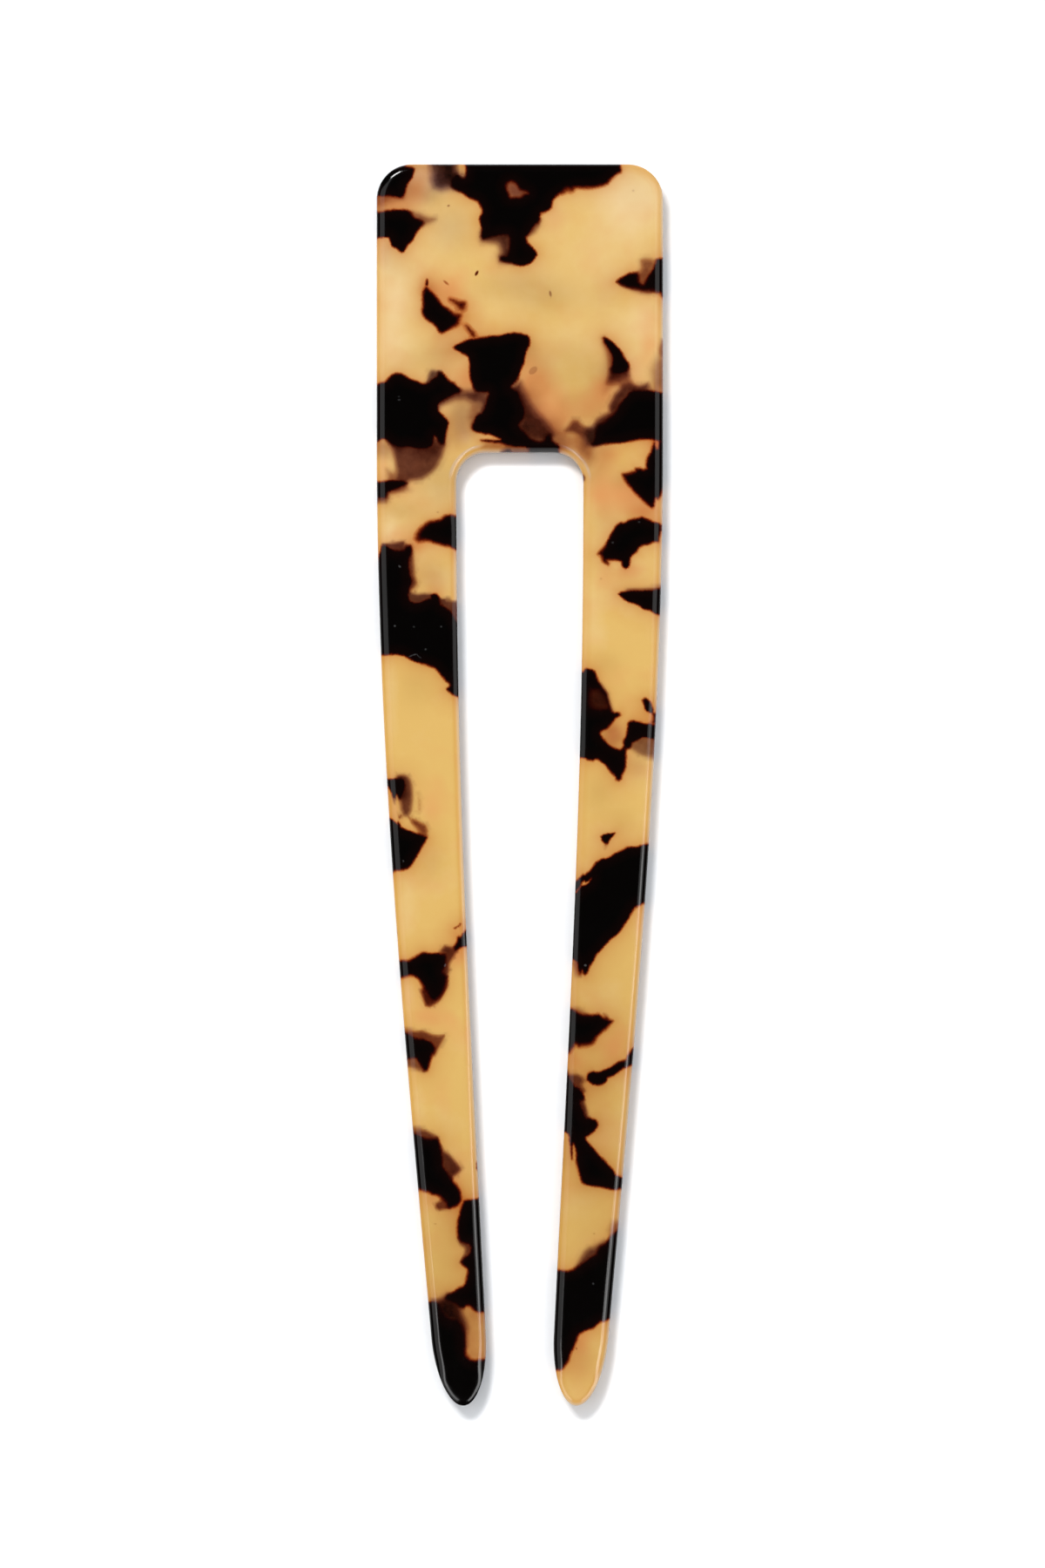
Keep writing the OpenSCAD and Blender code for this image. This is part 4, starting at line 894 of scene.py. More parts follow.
# %% Smoke at a point
SMOKE_LEAN = (0.12, -0.1)
SMOKE_FOOT, SINK_INSET = 1.6, 0.15
BLUR_REACH, CRISPEST = 1.5, 0.15
CLING, CLING_GAP = 0.35, 0.1
GRAIN_SOFTNESS, SPECK_SOFTNESS = 0.12, 0.08
TOP_LAYER = 0.5


def smoke_at(x, y, depth, distance):
    """Density and warmth of the smoke, and the flake distance with the flakes that it sinks to."""
    deeper = np.maximum(0, depth - BURIED)
    covers = []
    for points, blur, density, warm, sinks in SMOKES:
        d = outline_distance(points, x - SMOKE_LEAN[0] * deeper, y - SMOKE_LEAN[1] * deeper)
        reach = BLUR_REACH * blur * np.clip(1 - depth / BURIED, CRISPEST, 1)
        # beside a flake the cloud draws up to it, so that no pale line is left between them
        drawn = d - (0.5 * reach + CLING_GAP) * soft_step(1 - distance / CLING)
        cover = soft_step(0.5 - drawn / (2 * reach)) * density
        cover *= 1 if sinks else np.clip(SMOKE_FOOT - depth, 0, 1)
        covers.append((cover, warm))
        if sinks:
            # from BURIED down it is a flake, a little smaller than its cloud
            distance = np.minimum(distance, np.maximum(d + SINK_INSET, BURIED - depth))
    for grain in GRAINS:
        cover = disc_cover(grain, GRAIN_SOFTNESS, x, y) * grain[5] * (depth < TOP_LAYER)
        covers.append((cover, grain[6]))
    clear, warmth, weight = np.ones(len(x)), np.zeros(len(x)), np.full(len(x), 1e-6)
    for cover, warm in covers:
        clear *= 1 - cover
        warmth += cover * warm
        weight += cover
    return 1 - clear, warmth / weight, distance


# %% Everything at a point
def ground_at(x, y):
    """How creamy, how orange and how deep the ground is; the crown is creamier than the prongs."""
    cream = 0.24 * soft_step((y - 10) / 20) - 0.12
    orange, deep = np.zeros(len(x)), np.zeros(len(x))
    for *place, more_cream, more_orange in TINTS:
        weight = patch(x, y, *place)
        cream += more_cream * weight
        orange += more_orange * weight
    for *place, amount in DEEPS:
        deep += amount * patch(x, y, *place)
    return cream, orange, np.minimum(deep, 1.3)


def pattern(x, y, depth):
    """All that the shader has to know of each point, by name."""
    distance, fringe, halo = flakes_at(x, y, depth)
    smoky, warmth, distance = smoke_at(x, y, depth, distance)
    cream, orange, deep = ground_at(x, y)
    speck = np.zeros(len(x))
    for disc in SPECKS:
        speck = np.maximum(speck, disc_cover(disc, SPECK_SOFTNESS, x, y) * disc[5] * (depth < TOP_LAYER))
    return {"flake_distance": distance, "flake_fringe": fringe, "halo": halo, "smoke": smoky,
            "smoke_warmth": warmth, "cream": cream, "orange": orange, "deep": deep, "speck": speck}


print("fields:", list(pattern(np.array([0.0]), np.array([50.0]), np.array([0.0]))))

# %% [markdown]
# ## Stations round the rim
# The rim needs many stations where a flake crosses it and few where it is plain. So a fine walk is
# made first, and a station is kept if it is near a flake's edge, if it is the fourth since the last
# one kept, or the second where the edge turns.

# %% Choose the stations
MID_RIM, EDGE_REACH = 0.4, 0.22
fine = edge_points(fine_walk, MID_RIM)


def near_flake_edge(x, y):
    return np.abs(pattern(x, y, np.zeros(len(x)))["flake_distance"]) < EDGE_REACH


crossing = near_flake_edge(fine[:, 0], fine[:, 1]) | near_flake_edge(-fine[:, 0], fine[:, 1])
turning = np.isin(fine_walk[0], [CORNER, TIP, SLOT_CORNER])
keep, last = [], -99
for i in range(len(fine)):
    step = 1 if crossing[i] else (2 if turning[i] else 4)
    if i - last >= step or fine_walk[1][i] == 0.0 or i == len(fine) - 1:
        keep.append(i)
        last = i
stations = (fine_walk[0][keep], fine_walk[1][keep])
print("stations kept on half the edge:", len(keep))

# %% [markdown]
# ## The rings of the rim
# Tumbling rounds the edge as a low, wide curve, wider than it is high, so the gloss breaks along a
# narrow band beside the flat faces. A bevel modifier gives a round of equal width and height, so
# here the rings are placed as a quarter of an ellipse, and the wall between is straight.
# The rounding isn't the same all round. The stones reach little into the slot's narrow sides and slip
# off the tips' ends, so the curve is lower there, and the slot's closed end is eased with a file
# first, so it is higher there.

# %% Height of the rounding along the edge
RIM_W, RIM_H = 1.05, 0.32
LESS_ON_SLOT_SIDES, LESS_AT_TIPS, MORE_AT_SLOT_END = 0.17, 0.23, 0.4


def both_halves(half):
    """Values at the stations of half the edge, carried on round the other half."""
    return np.concatenate([half, half[-2:0:-1]])


def rim_height(run, share):
    """The height all round. Below, y is in mm from the pin's middle: the tips' ends lie at -63.5."""
    y = edge_points((run, share), 0.0)[:, 1]
    slot_side = soft_step((y + 45) / 30) * soft_step((31 - y) / 5) * (run == INNER)
    slot_end = soft_step((share - 0.5) / 0.5) * (run == SLOT_CORNER) + (run == SLOT_END)
    tip_end = soft_step((-59 - y) / 2.5)
    height = RIM_H - LESS_ON_SLOT_SIDES * slot_side + MORE_AT_SLOT_END * slot_end - LESS_AT_TIPS * tip_end
    return both_halves(height)


heights = rim_height(*stations)
print("rounding", heights.min().round(2), "to", heights.max().round(2), "mm high")

# %% Rings from the top face, over the rim, down the wall and under
TOP_TURNS = np.radians([90, 82, 74, 66, 58, 50, 42, 34, 26, 18, 10, 4])
LOW_TURNS = np.radians([0, 14, 30, 48, 66, 90])
WALL_HEIGHTS = (3.1, 2.5, 1.9, 1.3, 0.8)


def inset_and_drop(turn):
    return RIM_W * (1 - math.cos(turn)), 1 - math.sin(turn)


# each ring: how far it is set in, its height, and how much of a taller rounding lowers it
RINGS = []
for turn in TOP_TURNS:
    inset, drop = inset_and_drop(turn)
    RINGS.append((inset, SHEET_T - RIM_H * drop, drop))
RINGS.append((0.0, SHEET_T - RIM_H, 1.0))
RINGS += [(0.0, z, 0.0) for z in WALL_HEIGHTS]
for turn in LOW_TURNS:
    inset, drop = inset_and_drop(turn)
    RINGS.append((inset, RIM_H * drop, 0.0))


def whole_ring(inset):
    half = edge_points(stations, inset)
    other = half[-2:0:-1] * np.array([-1, 1])
    return np.concatenate([half, other])


rings = [np.column_stack([whole_ring(inset), z - lowered * (heights - RIM_H)]) for inset, z, lowered in RINGS]
ring_size = len(rings[0])
print("rings", len(rings), "of", ring_size, "points")

# %% [markdown]
# ## The flat faces
# A face is filled with points on a grid of triangles: fine beside a flake's edge, wide where the
# ground is plain, and finest round the dust. A Delaunay triangulation then joins them to the rim.

# %% Points inside a face
FACE_INSET = RIM_W + 0.06
GRID_HALF_LENGTH, GRID_HALF_WIDTH = 64, 15
DUST_SPACING = 0.05


def inside_face(x, y):
    """True where (x, y) is clear of the rim."""
    inset = FACE_INSET
    yy, xx = y + LENGTH / 2, np.abs(x)
    centre, half = centre_and_half(yy)
    in_prong = np.abs(xx - centre) < half - inset
    cos_tip = np.clip(1 - (yy - inset) / (TIP_L - inset), -1, 1)
    in_tip = (yy > inset) & (np.abs(xx - centre) < (half - inset) * np.sqrt(1 - cos_tip ** 2))
    r = SLOT_R + inset
    up = np.clip((yy - SLOT_CORNER_Y) / r, 0, 1)
    inner = centre - half + inset - r * (1 - np.sqrt(1 - up ** 2))
    in_root = (xx < CROWN_W / 2 - inset) & ((yy > SLOT_Y + inset) | (xx > inner))
    r = CORNER_R - inset
    in_corner = np.hypot(np.maximum(0, xx - CROWN_W / 2 + CORNER_R), np.maximum(0, yy - CORNER_Y)) < r
    in_crown = in_root & (yy < LENGTH - inset) & in_corner
    return np.where(yy < TIP_L, in_tip, np.where(yy < SLOT_CORNER_Y, in_prong, in_crown))


def face_points(spacing, depth):
    """Points of a grid of triangles, thinned out away from the flakes' edges."""
    step_y = spacing * math.sqrt(3) / 2
    rows, columns = int(GRID_HALF_LENGTH / step_y), int(GRID_HALF_WIDTH / spacing)
    j, i = np.meshgrid(np.arange(-rows, rows + 1), np.arange(-columns, columns + 1), indexing="ij")
    i, j = i.ravel(), j.ravel()
    i = i - j // 2
    x, y = (i + 0.5 * j) * spacing, j * step_y
    here = inside_face(x, y)
    x, y, i, j = x[here], y[here], i[here], j[here]
    found = pattern(x, y, np.full(len(x), depth))
    edge = np.abs(found["flake_distance"])
    # every fourth point of the grid in plain ground, every second near an edge or in smoke, else all
    stride = np.full(len(x), 4)
    stride[(edge < 0.75) | (found["smoke"] > 0.03)] = 2
    stride[(edge < 0.2) | (found["speck"] > 0)] = 1
    kept = ((i % stride) == 0) & ((j % stride) == 0)
    return np.column_stack([x[kept], y[kept]])


def dust_points():
    """Small squares of close points round the grains and specks, a little off the grid's own points."""
    squares = []
    for disc in SPECKS + GRAINS:
        n = int((disc[2] + 0.08) / DUST_SPACING)
        steps = np.arange(-n, n + 1)
        square = np.stack(np.meshgrid(steps, steps), -1).reshape(-1, 2) * DUST_SPACING
        squares.append(square + np.array([disc[0] + 0.013, disc[1] + 0.017]))
    points = np.concatenate(squares)
    return points[inside_face(points[:, 0], points[:, 1])]


top_points = np.concatenate([face_points(0.13, 0.0), dust_points()])
low_points = face_points(0.2, SHEET_T)
print("points in the top face", len(top_points), "and in the underside", len(low_points))


# %% Join the faces to the rim
def fill(ring, points):
    """Triangles of a face: corner numbers below len(ring) are the rim's, the others are the points'."""
    n = len(ring)
    corners = [Vector(p) for p in np.concatenate([ring[:, :2], points])]
    edges = [(k, (k + 1) % n) for k in range(n)]
    found = delaunay_2d_cdt(corners, edges, [], 1, 1e-6, True)
    faces, origin = found[2], found[3]
    print("points that lay on another and were joined to it:", len(corners) - len(found[0]))
    triangles = np.array([o[0] for o in origin])[np.array(faces)]
    middle = np.array([v[:] for v in corners])[triangles].mean(axis=1)
    inside = np.zeros(len(triangles), bool)
    for (ax, ay), (bx, by) in zip(ring[:, :2], np.roll(ring[:, :2], -1, axis=0)):
        if ay != by:
            inside ^= ((ay > middle[:, 1]) != (by > middle[:, 1])) & (
                middle[:, 0] < ax + (middle[:, 1] - ay) * (bx - ax) / (by - ay))
    print("triangles dropped outside the edge:", int((~inside).sum()))
    return triangles[inside]


top_fill = fill(rings[0], top_points)
low_fill = fill(rings[-1], low_points)
print("triangles: top", len(top_fill), "underside", len(low_fill))

# %% Build the mesh
ring_count = len(rings)
ring_verts = np.concatenate(rings)
verts = np.concatenate([
    ring_verts,
    np.column_stack([top_points, np.full(len(top_points), SHEET_T)]),
    np.column_stack([low_points, np.zeros(len(low_points))])])
top_start = len(ring_verts)
low_start = top_start + len(top_points)
top_faces = np.where(top_fill < ring_size, top_fill, top_fill - ring_size + top_start)
low_faces = np.where(low_fill < ring_size, low_fill + (ring_count - 1) * ring_size,
                     low_fill - ring_size + low_start)[:, ::-1]
starts, places = np.arange(ring_count - 1)[:, None] * ring_size, np.arange(ring_size)[None, :]
here, after = (starts + places).ravel(), (starts + (places + 1) % ring_size).ravel()
walls = np.column_stack([here, after, after + ring_size, here + ring_size])


def area_sign(faces):
    p = verts[faces]
    return np.sign(np.cross(p[:, 1] - p[:, 0], p[:, 2] - p[:, 0])[:, 2].sum())


if area_sign(top_faces) < 0:
    top_faces = top_faces[:, ::-1]
if area_sign(low_faces) > 0:
    low_faces = low_faces[:, ::-1]
pin_mesh = bpy.data.meshes.new("acetate_pin")
pin_mesh.from_pydata((verts * MM).tolist(), [],
                     top_faces.tolist() + low_faces.tolist() + walls.tolist())
pin_mesh.validate()
print("triangles in all:", sum(len(p.vertices) - 2 for p in pin_mesh.polygons))

# %% [markdown]
# ## Normals
# The gloss depends on the normals, so they aren't left to an average of neighbouring triangles. The
# flat faces point straight up and down, and a point of the rim takes the slope of the ellipse, turned
# square to the edge.

# %% Exact normals
normals = []
for ring, (inset, z, lowered) in zip(rings, RINGS):
    along = np.roll(ring, -1, 0)[:, :2] - np.roll(ring, 1, 0)[:, :2]
    outward = np.column_stack([-along[:, 1], along[:, 0]])
    outward /= np.maximum(np.linalg.norm(outward, axis=1, keepdims=True), 1e-9)
    across = (RIM_W - inset) / RIM_W
    rise = math.sqrt(max(0.0, 1 - across * across))
    slope = np.column_stack([np.full(ring_size, across / RIM_W),
                             rise / (heights if lowered else np.full(ring_size, RIM_H))])
    slope /= np.linalg.norm(slope, axis=1, keepdims=True)
    up = slope[:, 1] * (1 if z > SHEET_T / 2 else -1)
    normals.append(np.column_stack([outward * slope[:, :1], up]))
# the first point of a ring lies at the crown's end, so its normal has to lean towards +Y
CHECK_RING = 6
leans_inward = normals[CHECK_RING][0][1] < 0
normals = np.concatenate(normals)
if leans_inward:
    normals[:, :2] *= -1
rim_normals = normals
normals = np.concatenate([normals, np.tile([0, 0, 1.0], (len(top_points), 1)),
                          np.tile([0, 0, -1.0], (len(low_points), 1))])
pin_mesh.shade_smooth()
pin_mesh.normals_split_custom_set_from_vertices(normals.tolist())
print("normal on the crown's end, on the rim:", normals[CHECK_RING * ring_size].round(3))

# %% [markdown]
# ## Painted light and shade in the rim
# Acetate is translucent, and the rim's light and shade are painted into its colour. On the side away
# from the key lamp, where light that went in on the lamp's side comes out, the rim gets a painted amber
# band with a painted pale line outside it. On the other sides its outer part and the wall below are
# painted darker and more amber, as painted shade. Beside the slot's corners a thin pale curve is a
# painted highlight, which stands in for the lamps' reflection there. Scattering in the shader could give
# the light that comes through, but it is slow, and a baked model doesn't keep it. So two numbers of the
# rim carry all this as colour: edge says how much painted amber shade there is, and the other how much
# painted pale light.

# %% Painted amber shade, painted pale light and a painted highlight in the rim
AWAY_FROM_KEY = np.array([0.42, -0.91])
AMBER_AT, AMBER_REACH, PALE_REACH = 0.42, 0.22, 0.38
ARC_AT, ARC_REACH = 0.7, 0.1
LIGHT_FOOT = 1.6
depth = SHEET_T - verts[:, 2]
rim_depth = depth[:len(ring_verts)]
inset = np.repeat([ring[0] for ring in RINGS], ring_size)
outward = rim_normals[:, :2] / np.maximum(np.linalg.norm(rim_normals[:, :2], axis=1, keepdims=True), 1e-9)
far_side = np.clip(outward @ AWAY_FROM_KEY / 0.4, 0, 1) * np.clip(LIGHT_FOOT - rim_depth, 0, 1)
# painted shade: the rim's outer part and the wall are painted darker and more amber; away from the key lamp a
# painted amber band lies further in
near_side_painted_shade = (1 - inset / RIM_W) * np.where(rim_depth > TOP_LAYER, 0.8, 1.0)
far_side_painted_shade = np.where(inset > AMBER_AT, np.exp(-((inset - AMBER_AT) / AMBER_REACH) ** 2),
                     0.35 + 0.65 * inset / AMBER_AT)
run, share = stations
# painted highlight: a thin pale curve in the rim beside the slot's corners
slot_corner = both_halves((run == SLOT_CORNER) * soft_step(5 * share) * soft_step(5 * (1 - share)))
painted_highlight_arc = np.exp(-((inset - ARC_AT) / ARC_REACH) ** 2) * (rim_depth < TOP_LAYER)
painted_highlight_arc *= np.tile(slot_corner, ring_count)
# painted pale light along the rim's edge on the side away from the key lamp
painted_pale_line = far_side * soft_step((PALE_REACH - inset) / PALE_REACH)
rim = {"edge": (1 - far_side) * near_side_painted_shade + far_side * far_side_painted_shade, "painted_rim_light": 0.8 * painted_pale_line + 0.95 * painted_highlight_arc}
print("most amber and most pale:", rim["edge"].max().round(2), rim["painted_rim_light"].max().round(2))

# %% Store the pattern on the mesh
fields = pattern(verts[:, 0], verts[:, 1], depth)
for name, values in rim.items():
    fields[name] = np.concatenate([values, np.zeros(len(verts) - len(ring_verts))])
for name, values in fields.items():
    stored = pin_mesh.attributes.new(name, "FLOAT", "POINT")
    stored.data.foreach_set("value", values.astype(np.float32))
pin = bpy.data.objects.new("acetate_pin", pin_mesh)
bpy.context.scene.collection.objects.link(pin)
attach(pin, "root")
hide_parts("hair_pin")
dark = fields["flake_distance"][top_start:low_start] < 0
print("share of the top's points in a flake:", dark.mean().round(2))

# %% [markdown]
# ## The acetate's colour
# Dark acetate isn't a black paint: a thin edge of a flake still lets light through, first orange, then
# red-brown, and only then black. So the distance from the flake's edge, divided by its fringe, walks
# down a ramp of such colours, which multiplies the ground. Smoke has a ramp of its own, cooler and
# greyer. All of it is one node group, with the mesh's numbers as its inputs and a colour as output.


# %% Small helpers for nodes
def linear(r, g, b):
    """A colour as read off a screen, 0 to 255, as the linear values that a shader needs."""
    shares = [c / 255 for c in (r, g, b)]
    return tuple(c / 12.92 if c <= 0.04045 else ((c + 0.055) / 1.055) ** 2.4 for c in shares) + (1.0,)


def node(tree, kind, **settings):
    made = tree.nodes.new(kind)
    for key, value in settings.items():
        setattr(made, key, value)
    return made


def plug(tree, socket, value):
    if isinstance(value, bpy.types.NodeSocket):
        tree.links.new(value, socket)
    else:
        socket.default_value = value


def maths(tree, operation, a, b=0.0, clamp=False):
    made = node(tree, "ShaderNodeMath", operation=operation, use_clamp=clamp)
    plug(tree, made.inputs[0], a)
    plug(tree, made.inputs[1], b)
    return made.outputs[0]


def swing(tree, value, middle, amount):
    """A noise's value as a number that swings about nothing."""
    return maths(tree, "MULTIPLY", maths(tree, "SUBTRACT", value, middle), amount)


def blend(tree, kind, share, a, b):
    made = node(tree, "ShaderNodeMix", data_type="RGBA", blend_type=kind)
    plug(tree, made.inputs[0], share)
    plug(tree, made.inputs[6], a)
    plug(tree, made.inputs[7], b)
    return made.outputs[2]


def ramp(tree, value, stops):
    """Colours as (place, red, green, blue), joined by straight blends."""
    made = node(tree, "ShaderNodeValToRGB")
    plug(tree, made.inputs[0], value)
    bar = made.color_ramp
    while len(bar.elements) < len(stops):
        bar.elements.new(0.5)
    for element, (place, *colour) in zip(bar.elements, stops):
        element.position = place
        element.color = (*colour, 1)
    return made.outputs[0]


def noise(tree, where, scale, detail=2.0, roughness=0.5):
    made = node(tree, "ShaderNodeTexNoise", noise_dimensions="3D")
    plug(tree, made.inputs["Vector"], where)
    made.inputs["Scale"].default_value = scale
    made.inputs["Detail"].default_value = detail
    made.inputs["Roughness"].default_value = roughness
    return made.outputs[0]


def new_group(name, inputs, outputs):
    """An empty group with sockets of kind Vector, Float or Color, each as (label, kind)."""
    tree = bpy.data.node_groups.new(name, "ShaderNodeTree")
    for in_out, sockets in (("INPUT", inputs), ("OUTPUT", outputs)):
        for label, kind in sockets:
            tree.interface.new_socket(name=label, in_out=in_out, socket_type="NodeSocket" + kind)
    return tree, tree.nodes.new("NodeGroupInput"), tree.nodes.new("NodeGroupOutput")


print("mid grey, linear:", [round(c, 3) for c in linear(128, 128, 128)])

# %% Begin the colour group with its ground
HONEY, CREAM, ORANGE = linear(199, 161, 91), linear(209, 180, 131), linear(199, 138, 82)
# the rim's two painted colours: an amber multiply for painted shade, and a pale colour for painted light and
# a painted highlight
PAINTED_AMBER_SHADE, PAINTED_PALE_LIGHT = (0.92, 0.8, 0.62, 1), linear(191, 167, 142)
FIELD_SOCKETS = {
    "Flake Distance": "flake_distance", "Fringe": "flake_fringe", "Smoke": "smoke",
    "Smoke Warmth": "smoke_warmth", "Cream": "cream", "Orange": "orange", "Halo": "halo",
    "Deep": "deep", "Painted Rim Shade": "edge", "Painted Rim Light": "painted_rim_light"}
tortoise, given, result = new_group(
    "tortoiseshell_colour", [("Place", "Vector")] + [(label, "Float") for label in FIELD_SOCKETS],
    [("Color", "Color")])
given = given.outputs
place = given["Place"]

# honey, with broad creamy and orange patches, then painted amber shade at the rim's edge and painted
# pale light and a painted highlight in the rim; Place comes in millimetres, so a noise's scale is its number
# of waves for each millimetre
cream_share = maths(tortoise, "ADD", given["Cream"], swing(tortoise, noise(tortoise, place, 0.16), 0.38, 0.8))
cream_share = maths(tortoise, "ADD", cream_share, swing(
    tortoise, noise(tortoise, place, 0.9, 3.0, 0.6), 0.5, 0.25), clamp=True)
ground = blend(tortoise, "MIX", cream_share, HONEY, CREAM)
orange_share = maths(tortoise, "ADD", given["Orange"], swing(
    tortoise, noise(tortoise, place, 0.33, 1.0), 0.56, 1.0), clamp=True)
ground = blend(tortoise, "MIX", orange_share, ground, ORANGE)
ground = blend(tortoise, "MULTIPLY", given["Painted Rim Shade"], ground, PAINTED_AMBER_SHADE)
ground = blend(tortoise, "MIX", given["Painted Rim Light"], ground, PAINTED_PALE_LIGHT)
print("nodes for the ground:", len(tortoise.nodes))

# %% How far into a flake
# the flake's edge wavers a little, as melted chips do
waver = swing(tortoise, noise(tortoise, place, 1.3, 2.0, 0.6), 0.5, 0.2)
nibble = swing(tortoise, noise(tortoise, place, 4.5, 2.0, 0.6), 0.5, 0.16)
away = maths(tortoise, "ADD", given["Flake Distance"], maths(tortoise, "ADD", waver, nibble))
width = maths(tortoise, "MULTIPLY", given["Fringe"], maths(
    tortoise, "ADD", 1.3, maths(tortoise, "MULTIPLY", noise(tortoise, place, 0.35, 1.0), 1.6)))
inside = maths(tortoise, "SUBTRACT", 0.5, maths(tortoise, "DIVIDE", away, width), clamp=True)
depth_colour = ramp(tortoise, inside, [
    (0.0, 1, 1, 1), (0.16, 0.9, 0.7, 0.61), (0.33, 0.66, 0.42, 0.34), (0.48, 0.34, 0.13, 0.07),
    (0.58, 0.2, 0.045, 0.015), (0.7, 0.09, 0.011, 0.004), (0.84, 0.028, 0.0035, 0.002),
    (1.0, 0.0012, 0.0008, 0.0008)])
print("nodes with the flakes:", len(tortoise.nodes))

# %% Halo, deep ground and smoke
LEAKED_LIGHT, DEEP_GROUND = (0.7, 0.34, 0.2, 1), (0.82, 0.78, 0.72, 1)
# light that leaks round a flake warms and dims the ground beside it, and some ground is simply deeper
halo_share = maths(tortoise, "MULTIPLY", given["Halo"], 0.6, clamp=True)
ground = blend(tortoise, "MULTIPLY", halo_share, ground, LEAKED_LIGHT)
ground = blend(tortoise, "MULTIPLY", given["Deep"], ground, DEEP_GROUND)
cloud = swing(tortoise, noise(tortoise, place, 0.8, 3.0, 0.6), 0.5, 0.5)
thick = maths(tortoise, "MULTIPLY", given["Smoke"], maths(tortoise, "ADD", 1.0, cloud), clamp=True)
cool = ramp(tortoise, thick, [
    (0.0, 1, 1, 1), (0.3, 0.42, 0.34, 0.42), (0.55, 0.14, 0.09, 0.145),
    (0.75, 0.06, 0.03, 0.045), (1.0, 0.006, 0.003, 0.004)])
warm = ramp(tortoise, thick, [
    (0.0, 1, 1, 1), (0.3, 0.56, 0.34, 0.28), (0.55, 0.26, 0.1, 0.09),
    (0.75, 0.1, 0.021, 0.015), (1.0, 0.008, 0.002, 0.002)])
smoke_colour = blend(tortoise, "MIX", given["Smoke Warmth"], cool, warm)
ground = blend(tortoise, "MULTIPLY", 1.0, ground, smoke_colour)
print("nodes with the smoke:", len(tortoise.nodes))

# %% Finish the colour group
NEAR_HEART, DEEP_HEART = (0.0032, 0.0006, 0.0004, 1), (0.0007, 0.0004, 0.0003, 1)
whole = blend(tortoise, "MULTIPLY", 1.0, ground, depth_colour)
# even the middle of a flake isn't quite black: it keeps a trace of red, less of it further in
heart_share = maths(tortoise, "MULTIPLY", away, -0.8, clamp=True)
heart = blend(tortoise, "MIX", heart_share, NEAR_HEART, DEEP_HEART)
whole = blend(tortoise, "LIGHTEN", 1.0, whole, heart)
plug(tortoise, result.inputs["Color"], whole)
print("nodes in the colour group:", len(tortoise.nodes))

# %% [markdown]
# ## Polish
# Tumbled acetate is glossy but never a mirror: it keeps a faint waviness, a few hairline scratches
# that all drift one way, and dust. The group gives a roughness and a height, and the shader turns the
# height into a bump.

# %% Polish group
SCRATCH_TURN, SCRATCH_STRETCH = (0, 0, 0.35), (6.0, 0.35, 2.0)
polish, given, result = new_group(
    "tumbled_polish", [("Place", "Vector"), ("Roughness", "Float"), ("Speck", "Float")],
    [("Roughness", "Float"), ("Height", "Float")])
given = given.outputs
place = given["Place"]
stretch = node(polish, "ShaderNodeMapping")
plug(polish, stretch.inputs["Vector"], place)
stretch.inputs["Rotation"].default_value = SCRATCH_TURN
stretch.inputs["Scale"].default_value = SCRATCH_STRETCH
hairlines = ramp(polish, noise(polish, stretch.outputs[0], 1.0, 4.0, 0.7), [
    (0.0, 0, 0, 0), (0.62, 0, 0, 0), (0.72, 1, 1, 1)])
rough = maths(polish, "ADD", given["Roughness"], swing(polish, noise(polish, place, 0.5, 3.0), 0.5, 0.06))
rough = maths(polish, "ADD", rough, maths(polish, "MULTIPLY", hairlines, 0.05))
rough = maths(polish, "ADD", rough, maths(polish, "MULTIPLY", given["Speck"], 0.12), clamp=True)
height = maths(polish, "ADD", noise(polish, place, 0.12), maths(
    polish, "MULTIPLY", noise(polish, place, 1.1), 0.06))
plug(polish, result.inputs["Roughness"], rough)
plug(polish, result.inputs["Height"], height)
print("nodes in the polish group:", len(polish.nodes))

# %% The acetate material
DUST = (0.2, 0.2, 0.2, 1)
POLISHED, WAVE_HEIGHT, ACETATE_IOR = 0.08, 0.03 * MM, 1.48
acetate = bpy.data.materials.new("acetate")
acetate.use_nodes = True
tree = acetate.node_tree
shader = tree.nodes["Principled BSDF"]
coordinates = node(tree, "ShaderNodeTexCoord")
in_mm = node(tree, "ShaderNodeVectorMath", operation="SCALE")
plug(tree, in_mm.inputs[0], coordinates.outputs["Object"])
in_mm.inputs["Scale"].default_value = 1 / MM


def stored(name):
    return node(tree, "ShaderNodeAttribute", attribute_type="GEOMETRY", attribute_name=name).outputs["Fac"]


colour = node(tree, "ShaderNodeGroup", node_tree=tortoise)
plug(tree, colour.inputs["Place"], in_mm.outputs[0])
for label, name in FIELD_SOCKETS.items():
    plug(tree, colour.inputs[label], stored(name))
wear = node(tree, "ShaderNodeGroup", node_tree=polish)
plug(tree, wear.inputs["Place"], in_mm.outputs[0])
plug(tree, wear.inputs["Speck"], stored("speck"))
wear.inputs["Roughness"].default_value = POLISHED
dusty = maths(tree, "MULTIPLY", stored("speck"), 0.2)
bump = node(tree, "ShaderNodeBump")
bump.inputs["Strength"].default_value = 1.0
bump.inputs["Distance"].default_value = WAVE_HEIGHT
plug(tree, bump.inputs["Height"], wear.outputs["Height"])
plug(tree, shader.inputs["Base Color"], blend(tree, "MIX", dusty, colour.outputs["Color"], DUST))
plug(tree, shader.inputs["Roughness"], wear.outputs["Roughness"])
plug(tree, shader.inputs["Normal"], bump.outputs["Normal"])
shader.inputs["IOR"].default_value = ACETATE_IOR
pin_mesh.materials.append(acetate)
print("nodes in the acetate:", len(tree.nodes))

# %% [markdown]
# ## Table
# The pin lies on plain white card, which takes a soft grey shadow and nothing else. The card lies a
# hair lower than the pin's underside, so that the two faces don't flicker into each other.

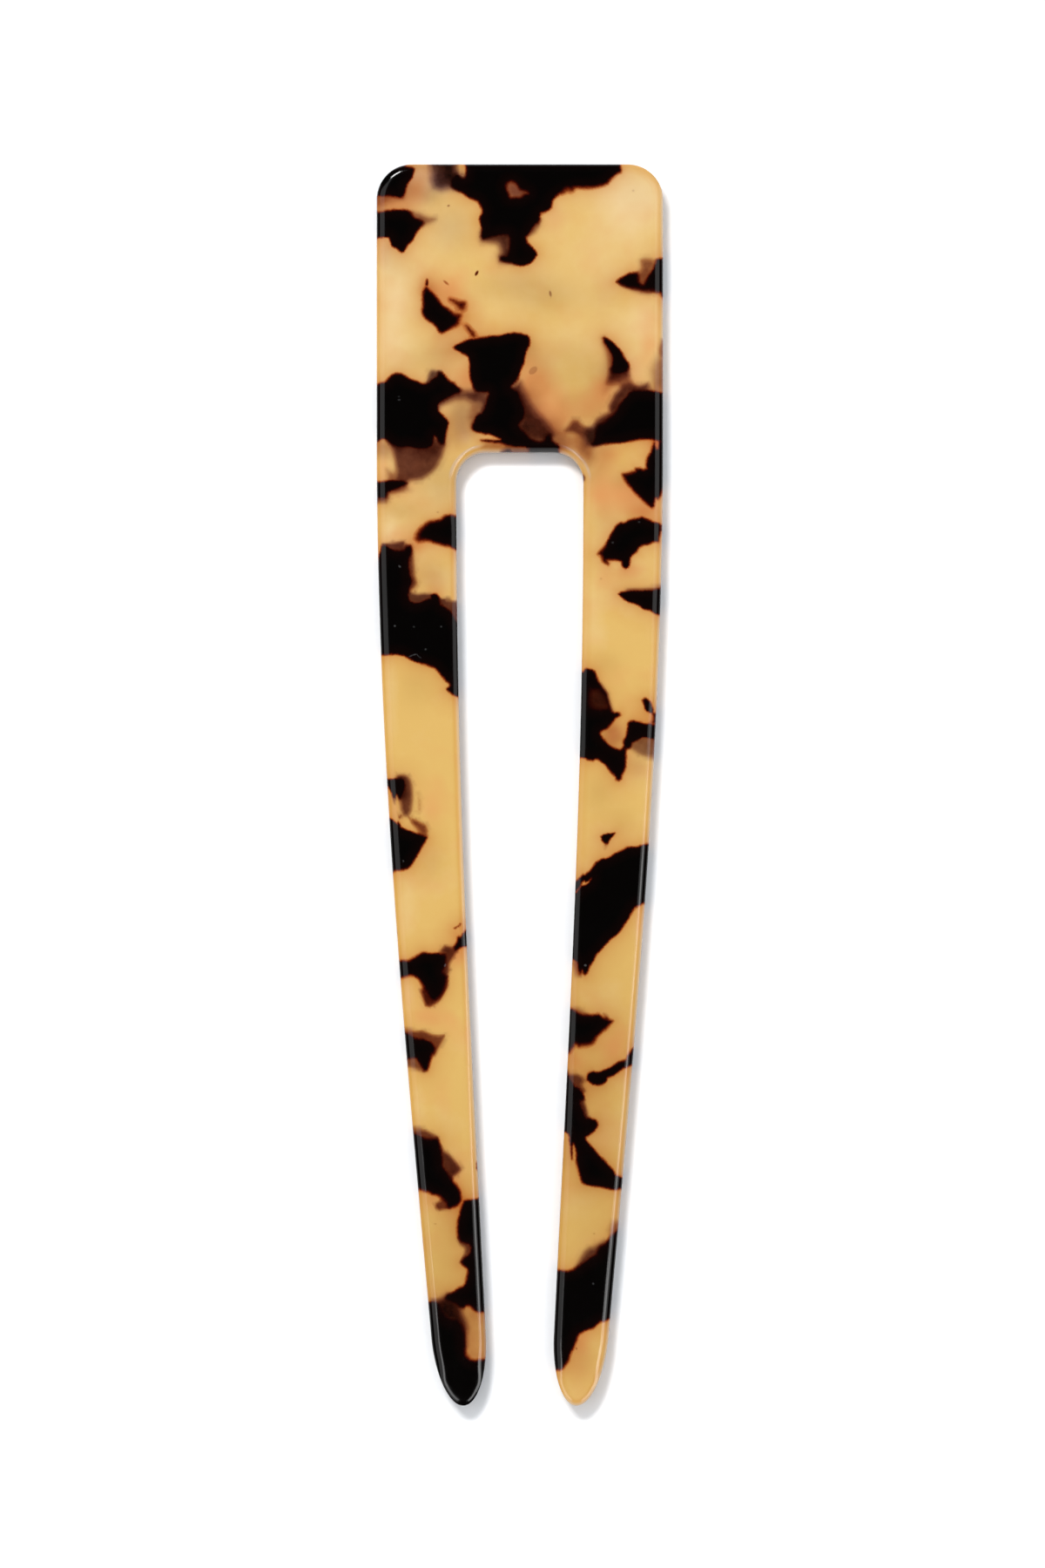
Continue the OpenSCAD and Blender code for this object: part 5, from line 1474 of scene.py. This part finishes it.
# %% White table
HALF_TABLE, TABLE_GAP = 0.9, 0.02 * MM
corners = [(-HALF_TABLE, -HALF_TABLE, 0), (HALF_TABLE, -HALF_TABLE, 0),
           (HALF_TABLE, HALF_TABLE, 0), (-HALF_TABLE, HALF_TABLE, 0)]
table_mesh = bpy.data.meshes.new("table_top")
table_mesh.from_pydata(corners, [], [(0, 1, 2, 3)])
table_top = bpy.data.objects.new("table_top", table_mesh)
table_top.location.z = -TABLE_GAP
bpy.context.scene.collection.objects.link(table_top)
card = bpy.data.materials.new("white_card")
card.use_nodes = True
card_tree = card.node_tree
card_shader = card_tree.nodes["Principled BSDF"]
card_place = node(card_tree, "ShaderNodeTexCoord")
tooth = noise(card_tree, card_place.outputs["Object"], 900.0, 4.0, 0.6)
plug(card_tree, card_shader.inputs["Base Color"], ramp(card_tree, tooth, [
    (0.3, 0.885, 0.885, 0.89), (0.7, 0.9, 0.9, 0.902)]))
card_shader.inputs["Roughness"].default_value = 0.75
card_shader.inputs["Specular IOR Level"].default_value = 0.2
table_mesh.materials.append(card)
print("table", 2 * HALF_TABLE, "m square")

# %% [markdown]
# ## Light
# A lamp up to the left throws the short grey shadow, and a broad one overhead lifts it. Both would also
# glare in the flat faces, so they are kept out of the gloss, as a polarising filter keeps a lamp out of
# a photograph. What the gloss does show are the lamps that it was lit to show: a small glint on the
# crown's corner, dim panels at the sides, which lie as long grey bands in the rim, narrow strips, which
# draw thin pale lines beside them, a low panel beyond the tips, and pale walls.


# %% Lamps
def lamp(name, compass, lean, distance, width, height, radiance, in_gloss=True, colour=(1, 1, 1)):
    """A panel at compass degrees (0 is +X, 90 is the crown's end), leaning lean degrees from overhead.

    Its width runs level and its height runs up towards overhead."""
    data = bpy.data.lights.new(name, "AREA")
    data.shape = "RECTANGLE"
    data.size, data.size_y = width, height
    data.energy = radiance * width * height * math.pi
    data.color = colour
    made = bpy.data.objects.new(name, data)
    c, l = math.radians(compass), math.radians(lean)
    made.location = (distance * math.sin(l) * math.cos(c), distance * math.sin(l) * math.sin(c),
                     distance * math.cos(l))
    made.rotation_euler = Vector(made.location).to_track_quat("Z", "Y").to_euler()
    made.visible_glossy = in_gloss
    bpy.context.scene.collection.objects.link(made)


lamp("key", 117, 23.2, 1.2, 0.24, 0.16, 71, in_gloss=False)
lamp("overhead", 55, 8, 1.5, 1.8, 1.8, 1.35, in_gloss=False, colour=(0.945, 1.0, 1.075))
lamp("glint", 118, 25.5, 1.25, 0.15, 0.1, 30)
lamp("panel_left", 186, 21, 1.2, 0.8, 0.5, 0.8)
lamp("panel_right", 4, 20, 1.2, 0.7, 0.42, 0.95)
lamp("panel_front", -22, 19.4, 1.0, 0.24, 0.11, 4.0)
lamp("strip_right", -48, 13.8, 1.2, 0.23, 0.09, 4.8)
lamp("strip_left", -131, 12.6, 1.2, 0.21, 0.09, 3.4)
lamp("panel_low", -90, 52, 1.2, 0.9, 0.38, 0.7)
for name, compass in (("wall_left", 180), ("wall_right", 0), ("wall_front", -90), ("wall_back", 90)):
    lamp(name, compass, 75, 1.5, 1.6, 0.75, 1.3)
DIM_ROOM = (0.015, 0.015, 0.015, 1)
room = bpy.data.worlds.new("room")
room.use_nodes = True
room.node_tree.nodes["Background"].inputs["Color"].default_value = DIM_ROOM
bpy.context.scene.world = room
bpy.context.scene.view_settings.view_transform = "Standard"
